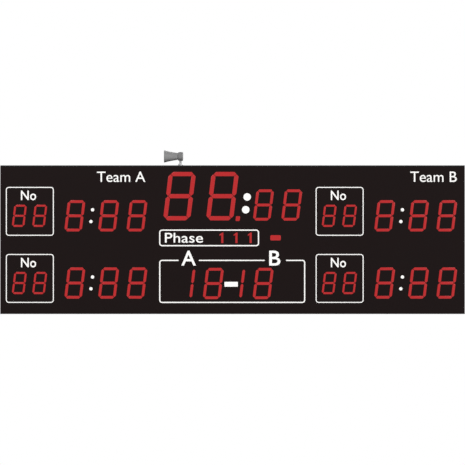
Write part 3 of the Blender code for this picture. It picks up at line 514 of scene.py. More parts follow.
class Finish(Enum):
    """Every finish on the board. Each is made once, when it is first asked for."""

    PANEL = Coating("matt_black_front", (0.0058, 0.0022, 0.0021), 0.60, 0.095, 750.0, 0.00006, 0.2)
    BLACK_COAT = CabinetCoat()
    VINYL = Coating("white_vinyl", (0.84, 0.83, 0.81), 0.52, 0.30, 500.0, 0.00001, 0.02)
    HORN = Coating("horn_grey_paint", (0.196, 0.196, 0.196), 0.40, 0.40, 650.0, 0.00008, 0.07)
    BOX = Coating("moulded_grey", (0.36, 0.37, 0.38), 0.52, 0.45, 1800.0, 0.00006, 0.05)
    BLACK_PLASTIC = Coating("moulded_black", (0.014, 0.014, 0.015), 0.46, 0.40, 1600.0, 0.00006)
    # black rubber for the wall spacers; the same black is also painted shade for the wall rail's
    # slots
    RUBBER_AND_SLOT_SHADE = Coating("black_rubber_and_slot_shade", (0.012, 0.012, 0.012), 0.85, 0.25, 2200.0, 0.00008, 0.2)
    CHIP = Coating("chip_epoxy", (0.011, 0.011, 0.012), 0.55, 0.35, 2600.0, 0.00003)
    CONNECTOR = Coating("nylon_connector", (0.74, 0.71, 0.62), 0.45, 0.45, 1200.0, 0.00002, 0.04)
    ALUMINIUM_X = Metal("aluminium_along_x", (0.70, 0.71, 0.72), 0.42, Grain.ALONG_X)
    ALUMINIUM_Z = Metal("aluminium_along_z", (0.70, 0.71, 0.72), 0.42, Grain.ALONG_Z)
    ZINC = Metal("zinc_plate", (0.62, 0.63, 0.64), 0.34, Grain.NONE, 500.0, 0.25)
    BRACKET = Metal("bright_steel", (0.80, 0.80, 0.81), 0.36, Grain.ALONG_Z, 800.0, 0.08)
    DARK_ZINC = Metal("black_zinc", (0.045, 0.045, 0.048), 0.42, Grain.NONE, 600.0, 0.2)
    TINNED = Metal("tinned_leads", (0.78, 0.77, 0.74), 0.28, Grain.NONE, 900.0, 0.1)
    LENS = LitLens()
    EPOXY = LedEpoxy()
    BOARD = SolderMask()
    COVER = PerforatedSteel()

    @property
    def slot(self) -> str:
        """The material slot for new pieces of this finish."""
        return next(slot for slot, finishes in SLOT_FINISHES.items() if self in finishes)

    def material(self) -> bpy.types.Material:
        """The finish's material."""
        made = bpy.data.materials.get(self.value.name)
        return made or self.value.build()


SLOT_FINISHES: dict[str, tuple[Finish, ...]] = {
    "steel": (Finish.ZINC, Finish.DARK_ZINC, Finish.TINNED, Finish.BRACKET),
    "aluminium": (Finish.ALUMINIUM_X, Finish.COVER),
    "black_coat": (Finish.BLACK_COAT,),
    "black_plastic": (Finish.BLACK_PLASTIC, Finish.RUBBER_AND_SLOT_SHADE, Finish.CHIP),
    "box_plastic": (Finish.BOX, Finish.CONNECTOR),
    "horn_grey": (Finish.HORN,),
    "red_lens": (Finish.LENS, Finish.EPOXY),
    "white_print": (Finish.VINYL,),
}


class Facing(Enum):
    """Which way a flat thing looks. The rows are its right, its up and its outward direction."""

    FRONT = ((1, 0, 0), (0, 0, 1), (0, -1, 0))
    REAR = ((-1, 0, 0), (0, 0, 1), (0, 1, 0))
    LEFT = ((0, -1, 0), (0, 0, 1), (-1, 0, 0))
    RIGHT = ((0, 1, 0), (0, 0, 1), (1, 0, 0))
    UP = ((1, 0, 0), (0, 1, 0), (0, 0, 1))
    DOWN = ((1, 0, 0), (0, -1, 0), (0, 0, -1))

    def at(self, x: float, y: float, z: float) -> Mapping:
        """A map from flat (right, up, out) points to places on the board."""
        basis = np.array(self.value, float)
        return lambda points: points @ basis + np.array((x, y, z))


def repeated(data: np.ndarray | None, copies: int) -> np.ndarray | None:
    """Per-point data of equal copies, one after the other, where there is any."""
    return None if data is None else np.concatenate([data] * copies)


@dataclass
class Patch:
    """A closed surface as whole arrays: points, faces of four corners, caps and per-point data."""

    points: np.ndarray
    quads: np.ndarray
    caps: list[np.ndarray] = field(default_factory=list)
    uv: np.ndarray | None = None
    glow: np.ndarray | None = None

    def moved(self, where: Mapping) -> Patch:
        """The same surface with its points mapped elsewhere."""
        return Patch(where(self.points), self.quads, self.caps, self.uv, self.glow)

    def at_each(self, places: Iterable[Sequence[float]]) -> Patch:
        """Copies of the surface, one at each place, as one surface.

        Args:
            places: a shift along X, Y and Z for each copy.

        Returns:
            All copies as one surface.
        """
        shifts = np.array(list(places), float).reshape(-1, 1, 3)
        copies = len(shifts)
        count = len(self.points)
        starts = np.arange(copies) * count
        caps = [cap + start for start in starts for cap in self.caps]
        return Patch(
            (self.points[None] + shifts).reshape(-1, 3),
            (self.quads[None] + starts.reshape(-1, 1, 1)).reshape(-1, 4),
            caps, repeated(self.uv, copies), repeated(self.glow, copies),
        )


def joined(patches: Iterable[Patch]) -> Patch:
    """Several surfaces as one. Missing UVs and glow become zero.

    Args:
        patches: the surfaces.

    Returns:
        One surface with all their points, faces and data.
    """
    points, quads, caps, uv, glow = [], [], [], [], []
    start = 0
    for patch in patches:
        count = len(patch.points)
        points.append(patch.points)
        quads.append(patch.quads.reshape(-1, 4) + start)
        caps += [cap + start for cap in patch.caps]
        uv.append(np.zeros((count, 2)) if patch.uv is None else patch.uv)
        glow.append(np.zeros(count) if patch.glow is None else patch.glow)
        start += count
    return Patch(
        np.concatenate(points), np.concatenate(quads), caps,
        np.concatenate(uv), np.concatenate(glow),
    )


def loft(loops: np.ndarray, ring: bool = True, tube: bool = False) -> Patch:
    """A surface through a stack of loops.

    Point (i, j) is the j-th point of loop i. A face joins it to (i, j + 1), (i + 1, j + 1) and
    (i + 1, j), so loops that run anticlockwise seen from the last one give outward faces.

    Args:
        loops: points, shaped (loops, points in each, 3).
        ring: whether each loop closes on itself. If so, its first and last loop get caps.
        tube: whether the last loop joins the first. With open loops, both ends get caps.

    Returns:
        The closed surface.
    """
    stack, count = loops.shape[:2]
    index = np.arange(stack * count).reshape(stack, count)
    rows = index if not tube else np.vstack([index, index[:1]])
    grid = rows if not ring else np.hstack([rows, rows[:, :1]])
    quads = np.stack([grid[:-1, :-1], grid[:-1, 1:], grid[1:, 1:], grid[1:, :-1]], axis=-1)
    caps = []
    if ring and not tube:
        caps = [index[0, ::-1], index[-1]]
    if tube and not ring:
        caps = [index[:, 0], index[::-1, -1]]
    return Patch(loops.reshape(-1, 3), quads.reshape(-1, 4), caps)


def spaced(count: int, pitch: float) -> np.ndarray:
    """A row of places about 0, one pitch apart."""
    return (np.arange(count) - (count - 1) / 2) * pitch


def circle(steps: int) -> np.ndarray:
    """Points of a circle of radius 1: the cosines and sines of evenly spaced angles."""
    turns = np.linspace(0.0, 2 * np.pi, steps, endpoint=False)
    return np.column_stack([np.cos(turns), np.sin(turns)])


def levelled(rows: Iterable[tuple[np.ndarray, float]]) -> np.ndarray:
    """Flat loops, each set at its own height.

    Args:
        rows: each loop's points, shaped (points, 2), and its height.

    Returns:
        The loops, shaped (rows, points, 3).
    """
    return np.array([
        np.column_stack([flat, np.full(len(flat), height)]) for flat, height in rows
    ])


def stacked(
    outline: Callable[[float], np.ndarray], levels: Sequence[Sequence[float]]
) -> np.ndarray:
    """Loops of one outline: each level is how far the outline is drawn in, and its height.

    Args:
        outline: gives the outline's points for an inset.
        levels: an inset and a height for each loop, from the foot up.

    Returns:
        The loops, shaped (levels, points, 3).
    """
    return levelled((outline(inset), height) for inset, height in levels)


def arc(u: float, v: float, radius: float, start: float, end: float, steps: int) -> np.ndarray:
    """Points on an arc about (u, v): radius times the cosine and sine of evenly spaced angles."""
    turns = np.radians(np.linspace(start, end, steps + 1))
    return np.column_stack([u + radius * np.cos(turns), v + radius * np.sin(turns)])


def rounded(
    width: float, height: float, corner: float, inset: float = 0.0, steps: int = 6
) -> np.ndarray:
    """A round-cornered rectangle about the origin, anticlockwise from its right side's top.

    Args:
        width: its width without an inset.
        height: its height without an inset.
        corner: its corners' radius without an inset.
        inset: how far each side is drawn in.
        steps: steps on each corner's arc.

    Returns:
        Its points, shaped (points, 2).
    """
    radius = max(corner - inset, 0.0001)
    u, v = width / 2 - inset - radius, height / 2 - inset - radius
    return np.concatenate([
        arc(u, v, radius, 0, 90, steps), arc(-u, v, radius, 90, 180, steps),
        arc(-u, -v, radius, 180, 270, steps), arc(u, -v, radius, 270, 360, steps),
    ])


def slab(
    width: float, height: float, thickness: float, corner: float, edge: float, steps: int = 1
) -> Patch:
    """A plate about the origin's (right, up), from 0 outwards, with round corners and eased edges.

    Args:
        width: its size to the right.
        height: its size upwards.
        thickness: its size outwards.
        corner: its corners' radius.
        edge: how far its edges are eased.
        steps: steps on each corner's arc.

    Returns:
        The closed surface.
    """
    return loft(stacked(
        lambda inset: rounded(width, height, corner, inset, steps),
        [(edge, 0.0), (0.0, edge), (0.0, thickness - edge), (edge, thickness)],
    ))


def turned(profile: Sequence[Sequence[float]], steps: int, tube: bool = False) -> Patch:
    """A surface of revolution about the outward axis.

    Point (i, j) lies at the profile's i-th radius and height, turned by j of the even steps.

    Args:
        profile: radius and height pairs, from the foot outwards.
        steps: points round the axis.
        tube: whether the profile closes on itself, as a bell's wall does.

    Returns:
        The closed surface.
    """
    ring = circle(steps)
    return loft(levelled((ring * radius, height) for radius, height in profile), tube=tube)


@dataclass(frozen=True)
class Screw:
    """A button-head screw: a low dome with a six-sided socket."""

    radius: float
    height: float
    socket: float
    finish: Finish = Finish.ZINC

    def patch(self) -> Patch:
        """The head, from its seat outwards. Its socket's radius swings between flats and corners.

        Returns:
            The closed surface.
        """
        steps = 12
        ring = circle(steps)
        swing = self.socket * (1.0 + HEX_CORNER * (np.arange(steps) % 2))
        hexagon = ring * swing[:, None]
        return loft(levelled([
            (ring * self.radius, 0.0), (ring * self.radius, self.height * 0.35),
            (ring * (self.radius * 0.78), self.height * 0.85),
            (ring * (self.radius * 0.58), self.height), (hexagon, self.height),
            (hexagon, self.height * 0.35),
        ]))


@dataclass(frozen=True)
class Rivet:
    """A blind rivet: a dome with the dimple its mandrel leaves."""

    radius: float
    height: float
    finish: Finish = Finish.ZINC

    def patch(self) -> Patch:
        """The head, from its seat outwards.

        Returns:
            The closed surface.
        """
        r, h = self.radius, self.height
        profile = [
            (r, 0.0), (r * 0.97, h * 0.35), (r * 0.75, h * 0.85), (r * 0.42, h),
            (r * 0.34, h * 0.92), (r * 0.30, h * 0.45),
        ]
        return turned(profile, 12)


def linked(name: str, data: bpy.types.ID) -> bpy.types.Object:
    """A new object in the scene.

    Args:
        name: the object's name.
        data: its mesh, text, camera or light.

    Returns:
        The object.
    """
    thing = bpy.data.objects.new(name, data)
    bpy.context.scene.collection.objects.link(thing)
    return thing


def settle(
    mesh: bpy.types.Mesh, finish: Finish, body: str, replaces: Sequence[str] = ()
) -> None:
    """Makes a mesh a piece of the same name, dresses it and lets it ride on its body.

    Args:
        mesh: the piece's mesh.
        finish: its finish.
        body: the CAD body that it moves with.
        replaces: the CAD nodes that it stands for.
    """
    mesh.materials.clear()
    mesh.materials.append(finish.material())
    piece = linked(mesh.name, mesh)
    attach(piece, body)
    finish.slot
    if replaces:
        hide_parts(*replaces)
    LOG.info("%s: %d points on %s", mesh.name, len(mesh.vertices), body)


def add_piece(
    name: str, patch: Patch, finish: Finish, body: str, replaces: Sequence[str] = ()
) -> None:
    """Makes a piece of a surface.

    Args:
        name: the piece's name.
        patch: its surface, in places on the board.
        finish: its finish.
        body: the CAD body that it moves with.
        replaces: the CAD nodes that it stands for.
    """
    mesh = bpy.data.meshes.new(name)
    faces = patch.quads.tolist() + [cap.tolist() for cap in patch.caps]
    mesh.from_pydata(patch.points.tolist(), [], faces)
    corners = np.zeros(len(mesh.loops), np.int32)
    mesh.loops.foreach_get("vertex_index", corners)
    if patch.uv is not None and patch.uv.any():
        layer = mesh.uv_layers.new(name="UVMap")
        layer.data.foreach_set("uv", patch.uv[corners].astype(np.float32).ravel())
    if patch.glow is not None and patch.glow.any():
        glow = mesh.attributes.new("glow", "FLOAT", "POINT")
        glow.data.foreach_set("value", patch.glow.astype(np.float32))
    mesh.shade_smooth()
    mesh.set_sharp_from_angle(angle=SMOOTH_ANGLE)
    settle(mesh, finish, body, replaces)


def add_copies(
    name: str, patch: Patch, facing: Facing, places: Iterable[Sequence[float]], finish: Finish,
    body: str,
) -> None:
    """Makes one piece of equal copies.

    Args:
        name: the piece's name.
        patch: one of them, from its seat outwards.
        facing: which way they look.
        places: where their seats are.
        finish: their finish.
        body: the CAD body that they move with.
    """
    add_piece(name, patch.moved(facing.at(0.0, 0.0, 0.0)).at_each(places), finish, body)


class Head(Enum):
    """Every kind of screw and rivet head on the board."""

    BACK_RIVET = Rivet(0.0040, 0.0013)
    HINGE_RIVET = Rivet(0.0028, 0.0009)
    STAY_RIVET = Rivet(0.0050, 0.0014)
    END_SCREW = Screw(0.0042, 0.0003, 0.0016, Finish.DARK_ZINC)
    TOP_SCREW = Screw(0.0034, 0.0005, 0.0013, Finish.DARK_ZINC)
    DOOR_SCREW = Screw(0.0030, 0.0016, 0.0011)
    CARRIER_SCREW = Screw(0.0032, 0.0018, 0.0012)
    BOARD_SCREW = Screw(0.0030, 0.0018, 0.0011)
    CAP_SCREW = Screw(0.0026, 0.0014, 0.0010)
    TERMINAL_SCREW = Screw(0.0030, 0.0014, 0.0011)
    LID_SCREW = Screw(0.0034, 0.0012, 0.0013)

    def add(
        self, name: str, facing: Facing, places: Iterable[Sequence[float]], body: str
    ) -> None:
        """Makes one piece of copies of the head, with their seats at the places."""
        add_copies(name, self.value.patch(), facing, places, self.value.finish, body)


@dataclass(frozen=True)
class Cabinet:
    """The cabinet's outer faces, read from the CAD frame."""

    left: float
    right: float
    bottom: float
    top: float
    front: float
    back: float

    @classmethod
    def from_frame(cls) -> Cabinet:
        """Reads the faces from the end plates, the front panel and the back sheets.

        Returns:
            The faces.
        """
        low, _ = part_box("left_end_plate")
        _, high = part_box("right_end_plate")
        return cls(
            low.x, high.x, low.z, high.z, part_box("front_panel")[0].y,
            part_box("centre_back_panel")[1].y,
        )


@dataclass(frozen=True)
class DigitShape:
    """A seven-bar digit's size before its slant, its bars' thickness, and the LEDs along them."""

    height: float
    width: float
    stroke: float
    upright_leds: int
    level_leds: int


class DigitSize(DigitShape, Enum):
    """The three sizes of digit."""

    CLOCK = (0.313, 0.176, 0.0275, 9, 10)
    TIMER = (0.2015, 0.1135, 0.0177, 7, 7)
    PLAYER = (0.1432, 0.0813, 0.0127, 5, 6)


@dataclass(frozen=True)
class Lamp:
    """A lit shape on the front, centred at (x, z)."""

    x: float
    z: float

    def outline(self, inset: float) -> np.ndarray:
        """Its edge drawn in by an inset, anticlockwise, in X and Z."""
        raise NotImplementedError

    def scale(self, flat: np.ndarray) -> np.ndarray:
        """LED counts along it and half strokes across it, for its UV map."""
        return np.zeros((len(flat), 2))

    def leds(self) -> np.ndarray:
        """Places of its LEDs, in X and Z."""
        raise NotImplementedError

    def crown(self) -> float:
        """How far in its faintly raised middle starts."""
        raise NotImplementedError


@dataclass(frozen=True)
class BarLamp(Lamp):
    """A slanted digit bar, a hexagon with its points at the ends of its centre line.

    Its place within the upright digit is (along_u, along_v) from the digit's centre (x, z), and
    the slant then moves each point right by the slant times its height over that centre.
    """

    u: float
    v: float
    half_length: float
    half_stroke: float
    upright: bool
    count: int

    def slanted(self, flat: np.ndarray) -> np.ndarray:
        """Bar coordinates, along and across, to places on the board.

        Args:
            flat: points along and across the bar, from its centre.

        Returns:
            Their X and Z.
        """
        a, b = (-flat[:, 1], flat[:, 0]) if self.upright else (flat[:, 0], flat[:, 1])
        a, b = a + self.u, b + self.v
        return np.column_stack([self.x + a + SLANT * b, self.z + b])

    def outline(self, inset: float) -> np.ndarray:
        """The hexagon: its tips move in by the root of two times the inset.

        Args:
            inset: how far the six sides are drawn in.

        Returns:
            Its corners' X and Z.
        """
        long = self.half_length - inset * math.sqrt(2)
        wide = self.half_stroke - inset
        flat = long - wide
        return self.slanted(np.array([
            (long, 0.0), (flat, wide), (-flat, wide), (-long, 0.0), (-flat, -wide), (flat, -wide),
        ]))

    def scale(self, flat: np.ndarray) -> np.ndarray:
        """LED pitches from one tip, and half strokes from the centre line.

        Args:
            flat: X and Z of points on the bar.

        Returns:
            Both counts for each point.
        """
        b = flat[:, 1] - self.z
        a = flat[:, 0] - self.x - SLANT * b
        a, b = a - self.u, b - self.v
        along, across = (b, -a) if self.upright else (a, b)
        pitch = 2 * self.half_length / self.count
        return np.column_stack([(along + self.half_length) / pitch, across / self.half_stroke])

    def leds(self) -> np.ndarray:
        """X and Z of a row of LEDs on the centre line, half a pitch from each tip."""
        along = spaced(self.count, 2 * self.half_length / self.count)
        return self.slanted(np.column_stack([along, np.zeros(self.count)]))

    def crown(self) -> float:
        """Two thirds of the way to the centre line."""
        return self.half_stroke * 0.66


@dataclass(frozen=True)
class PlateLamp(Lamp):
    """A round-cornered lamp, such as the decimal point or the dash."""

    width: float
    height: float
    corner: float
    slant: float
    columns: int
    rows: int

    def outline(self, inset: float) -> np.ndarray:
        """A rounded rectangle that leans by its slant."""
        flat = rounded(self.width, self.height, self.corner, inset, 4)
        return np.column_stack([self.x + flat[:, 0] + self.slant * flat[:, 1], self.z + flat[:, 1]])

    def scale(self, flat: np.ndarray) -> np.ndarray:
        """LED pitches from its left side, and half heights from its middle."""
        along = (flat[:, 0] - self.x + self.width / 2) / self.width * self.columns
        return np.column_stack([along, (flat[:, 1] - self.z) / self.height * 2])

    def leds(self) -> np.ndarray:
        """An even grid of LEDs.

        Returns:
            Their X and Z.
        """
        u = spaced(self.columns, self.width / self.columns)
        v = spaced(self.rows, self.height / self.rows)
        grid_u, grid_v = np.meshgrid(u, v)
        return np.column_stack([self.x + grid_u.ravel(), self.z + grid_v.ravel()])

    def crown(self) -> float:
        """Three tenths of its smaller side in."""
        return min(self.width, self.height) * 0.3


@dataclass(frozen=True)
class NumeralLamp(Lamp):
    """An upright numeral one with a short flag at its top left."""

    height: float = 0.068
    stem: float = 0.014
    flag_width: float = 0.011
    flag_fall: float = 0.013
    flag_thickness: float = 0.009
    count: int = 5

    def outline(self, inset: float) -> np.ndarray:
        """Its seven corners: stem, top, and flag.

        Args:
            inset: how far the sides are drawn in.

        Returns:
            Their X and Z.
        """
        right, low = self.stem / 2 - inset, -self.height / 2 + inset
        high = self.height / 2 - inset
        left = inset - self.stem / 2
        flag = left - self.flag_width
        flag_high = high - self.flag_fall
        flag_low = flag_high - self.flag_thickness + 2 * inset
        corners = np.array([
            (right, low), (right, high), (0.0, high), (flag, flag_high), (flag, flag_low),
            (left, flag_low + self.flag_fall / 2), (left, low),
        ])
        return corners + np.array((self.x, self.z))

    def leds(self) -> np.ndarray:
        """X and Z of a row of LEDs up the stem."""
        up = self.z + spaced(self.count, self.height / self.count)
        return np.column_stack([np.full(self.count, self.x), up])

    def crown(self) -> float:
        """A little over a fifth of the stem in."""
        return self.stem * 0.22


ALL_BARS = "abcdefg"
ONE_BARS = "bc"


@dataclass(frozen=True)
class Digit:
    """One digit's size, centre and bars: a at the top, then clockwise, with g in the middle."""

    size: DigitSize
    x: float
    z: float
    bars: str = ALL_BARS

    def lamps(self) -> list[Lamp]:
        """Its lit bars.

        Returns:
            A lamp for each bar that it has.
        """
        size, half_stroke = self.size, self.size.stroke / 2
        across = size.width / 2 - half_stroke
        rise = size.height / 2 - half_stroke
        places = {
            "a": (0.0, rise), "b": (across, rise / 2), "c": (across, -rise / 2),
            "d": (0.0, -rise), "e": (-across, -rise / 2), "f": (-across, rise / 2),
            "g": (0.0, 0.0),
        }
        lamps = []
        for bar in self.bars:
            upright = bar in "bcef"
            half_length = (rise / 2 if upright else across) - BAR_GAP / math.sqrt(2)
            count = size.upright_leds if upright else size.level_leds
            lamps.append(BarLamp(
                self.x, self.z, *places[bar], half_length, half_stroke, upright, count
            ))
        return lamps


def in_a_row(left: float, z: float, run: Sequence[tuple[DigitSize, float]]) -> list[Digit]:
    """Digits side by side: each step is a size and the gap before its digit.

    Args:
        left: where the row starts.
        z: the digits' centre in height.
        run: the sizes and gaps.

    Returns:
        The digits from left to right.
    """
    digits = []
    edge = left
    for size, gap in run:
        digits.append(Digit(size, edge + gap + size.width / 2, z))
        edge += gap + size.width
    return digits


def row_width(run: Sequence[tuple[DigitSize, float]]) -> float:
    """How wide a run of digits is, with its gaps."""
    return sum(size.width + gap for size, gap in run)


@dataclass
class LampGroup:
    """One lens with its digits and other lamps, and the LED board behind it."""

    name: str
    cabinet: Cabinet
    digits: list[Digit]
    others: list[Lamp] = field(default_factory=list)
    plate_setback: float = 0.0033
    proud: float = 0.0006
    root: float = 0.0040
    edge: float = 0.0005
    crown_rise: float = 0.00015
    led_radius: float = 0.0025
    led_height: float = 0.0080

    def lamps(self) -> list[Lamp]:
        """Every lit shape of the group."""
        return [lamp for item in self.digits for lamp in item.lamps()] + self.others

    def bar_patch(self, lamp: Lamp) -> Patch:
        """A raised bar: straight sides from its root, eased edges and a faintly crowned face.

        Args:
            lamp: the lit shape that the bar fills.

        Returns:
            The bar in its place, with its UV map and glow.
        """
        levels = [
            (0.0, -self.root), (0.0, self.proud - self.edge),
            (self.edge * 0.3, self.proud - self.edge * 0.3), (self.edge, self.proud),
            (lamp.crown(), self.proud + self.crown_rise),
        ]
        patch = loft(stacked(lamp.outline, levels))
        patch.uv = lamp.scale(patch.points[:, :2])
        patch.glow = np.ones(len(patch.points))
        return patch.moved(Facing.FRONT.at(0.0, self.cabinet.front, 0.0))

    def build_lens(self) -> None:
        """The lens: a plate behind the panel with a raised bar in every slot."""
        low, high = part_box(f"{self.name}_lens")
        middle = (low + high) / 2
        thickness = high.y - (self.cabinet.front + self.plate_setback)
        plate = slab(high.x - low.x, high.z - low.z, thickness, 0.003, self.edge * 0.8, steps=4)
        plate = plate.moved(Facing.FRONT.at(middle.x, high.y, middle.z))
        bars = [self.bar_patch(lamp) for lamp in self.lamps()]
        add_piece(
            f"{self.name}_lit_lens", joined([plate] + bars), Finish.LENS, "door",
            [f"{self.name}_lens"],
        )

    def nut_patch(self) -> Patch:
        """A washer, a six-sided nut with eased ends and the rounded end of its stud.

        Returns:
            The three of them, from the washer's seat outwards.
        """
        washer = turned([(0.0043, 0.0), (0.0043, 0.0005), (0.0038, 0.0007)], 20)
        nut = turned([
            (0.0029, 0.0006), (0.0032, 0.0009), (0.0032, 0.0026), (0.0028, 0.0029),
        ], 6)
        stud = turned([(0.0015, 0.0028), (0.0015, 0.0036), (0.0011, 0.0039)], 12)
        return joined([washer, nut, stud])

    def build_lens_nuts(self) -> None:
        """Nuts on studs of the panel, along the lens plate's upper and lower edges."""
        low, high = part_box(f"{self.name}_lens")
        inset, pitch = 0.0048, 0.13
        across = np.linspace(
            low.x + inset, high.x - inset, max(round((high.x - low.x) / pitch), 2) + 1
        )
        places = [(x, high.y, z) for x in across for z in (low.z + inset, high.z - inset)]
        name = f"{self.name}_lens_nuts"
        add_copies(name, self.nut_patch(), Facing.REAR, places, Finish.ZINC, "door")

    def led_patch(self) -> Patch:
        """One 5 mm LED: a flange, a body and a dome, with its glow rising to the tip.

        Returns:
            The LED, from the board outwards.
        """
        r, top = self.led_radius, self.led_height
        shoulder = top - r
        profile = [
            (r * 1.16, 0.0), (r * 1.16, 0.001), (r, 0.001), (r, shoulder),
            (r * 0.87, shoulder + r * 0.5), (r * 0.5, shoulder + r * 0.87), (r * 0.12, top),
        ]
        patch = turned(profile, 8)
        patch.glow = np.clip(patch.points[:, 2] / top, 0.0, 1.0) ** 2
        return patch

    def board_face(self) -> float:
        """The depth of the board's face."""
        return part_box(f"{self.name}_board")[0].y

    def build_leds(self) -> None:
        """LED domes on the board, under every bar."""
        flat = np.concatenate([lamp.leds() for lamp in self.lamps()])
        places = np.insert(flat, 1, self.board_face(), axis=1)
        name = f"{self.name}_leds"
        add_copies(name, self.led_patch(), Facing.FRONT, places, Finish.EPOXY, "cabinet")

    def part_places(self) -> dict[str, list[Place]]:
        """Where parts stand on the board, above and below the middle of each whole digit.

        Returns:
            Places of each kind of part, by its name.
        """
        places = {part: [] for part in self.part_shapes()}
        face = self.board_face()
        for item in self.digits:
            if item.bars != ALL_BARS:
                continue
            rise = item.size.height / 4
            above, below = item.x + SLANT * rise, item.x - SLANT * rise
            chip_z = item.z + rise * 1.12
            places["chips"].append((above, face, chip_z))
            places["pins"] += [
                (above + side * 0.0026, face, chip_z + row)
                for side in (-1, 1) for row in spaced(8, 0.00127)
            ]
            places["capacitors"] += [
                (above + side * 0.012, face, item.z + rise * 0.66) for side in (-1, 1)
            ]
            places["headers"].append((below, face, item.z - rise * 1.15))
            places["resistors"] += [
                (below + column, face, item.z - rise * 0.62) for column in spaced(8, 0.0032)
            ]
        places["capacitor_tops"] = places["capacitors"]
        return places

    def part_shapes(self) -> dict[str, Patch]:
        """The parts' shapes, from the board outwards.

        Returns:
            One shape for each kind of part, by its name.
        """
        wall = slab(0.0200, 0.0012, 0.0090, corner=0.0004, edge=0.0003)
        return {
            "chips": slab(0.0040, 0.0102, 0.0016, corner=0.0004, edge=0.0002),
            "pins": slab(0.0016, 0.0005, 0.0006, corner=0.0001, edge=0.0001),
            "resistors": slab(0.0016, 0.0032, 0.0006, corner=0.0001, edge=0.0001),
            "headers": joined([
                slab(0.0200, 0.0062, 0.0018, corner=0.0004, edge=0.0003),
                wall.moved(Facing.UP.at(0.0, 0.0025, 0.0)),
            ]),
            "capacitors": turned([
                (0.0043, 0.0), (0.0046, 0.0004), (0.0046, 0.0098), (0.0041, 0.0104),
                (0.0036, 0.0104), (0.0036, 0.0102),
            ], 16),
            "capacitor_tops": turned([(0.0035, 0.0), (0.0035, 0.01035), (0.0030, 0.0105)], 16),
        }

    def build_parts(self) -> None:
        """Chips, their pins and the resistors, headers and capacitors."""
        places = self.part_places()
        if not places["chips"]:
            return
        front = Facing.FRONT.at(0.0, 0.0, 0.0)
        set_out = {
            part: shape.moved(front).at_each(places[part])
            for part, shape in self.part_shapes().items()
        }
        for name, parts, finish in (
            ("chips", ["chips"], Finish.CHIP), ("leads", ["pins", "resistors"], Finish.TINNED),
            ("headers", ["headers"], Finish.CONNECTOR),
            ("capacitors", ["capacitors"], Finish.BLACK_PLASTIC),
            ("capacitor_tops", ["capacitor_tops"], Finish.TINNED),
        ):
            patch = joined([set_out[part] for part in parts])
            add_piece(f"{self.name}_{name}", patch, finish, "cabinet")

    def build_board_screws(self) -> None:
        """Screws through the board into the rails behind it."""
        low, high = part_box(f"{self.name}_board")
        margin = 0.006
        places = [
            (x, low.y, z) for x in (low.x + margin, (low.x + high.x) / 2, high.x - margin)
            for z in self.screw_heights(low.z, high.z)
        ]
        Head.BOARD_SCREW.add(f"{self.name}_board_screws", Facing.FRONT, places, "cabinet")

    def screw_heights(self, low: float, high: float) -> list[float]:
        """Heights of the module rails that pass behind the board, where its screws go.

        Args:
            low: the board's lower edge.
            high: the board's upper edge.

        Returns:
            One height for each rail that the board overlaps by at least its screw's head.
        """
        heights = []
        for rail in MODULE_RAILS:
            rail_low, rail_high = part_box(rail)
            overlap_low, overlap_high = max(rail_low.z, low), min(rail_high.z, high)
            if overlap_high - overlap_low > 0.007:
                heights.append((overlap_low + overlap_high) / 2)
        return heights

    def build(self) -> None:
        """Makes the lens and everything on the board."""
        self.build_lens()
        self.build_lens_nuts()
        self.build_leds()
        self.build_parts()
        self.build_board_screws()


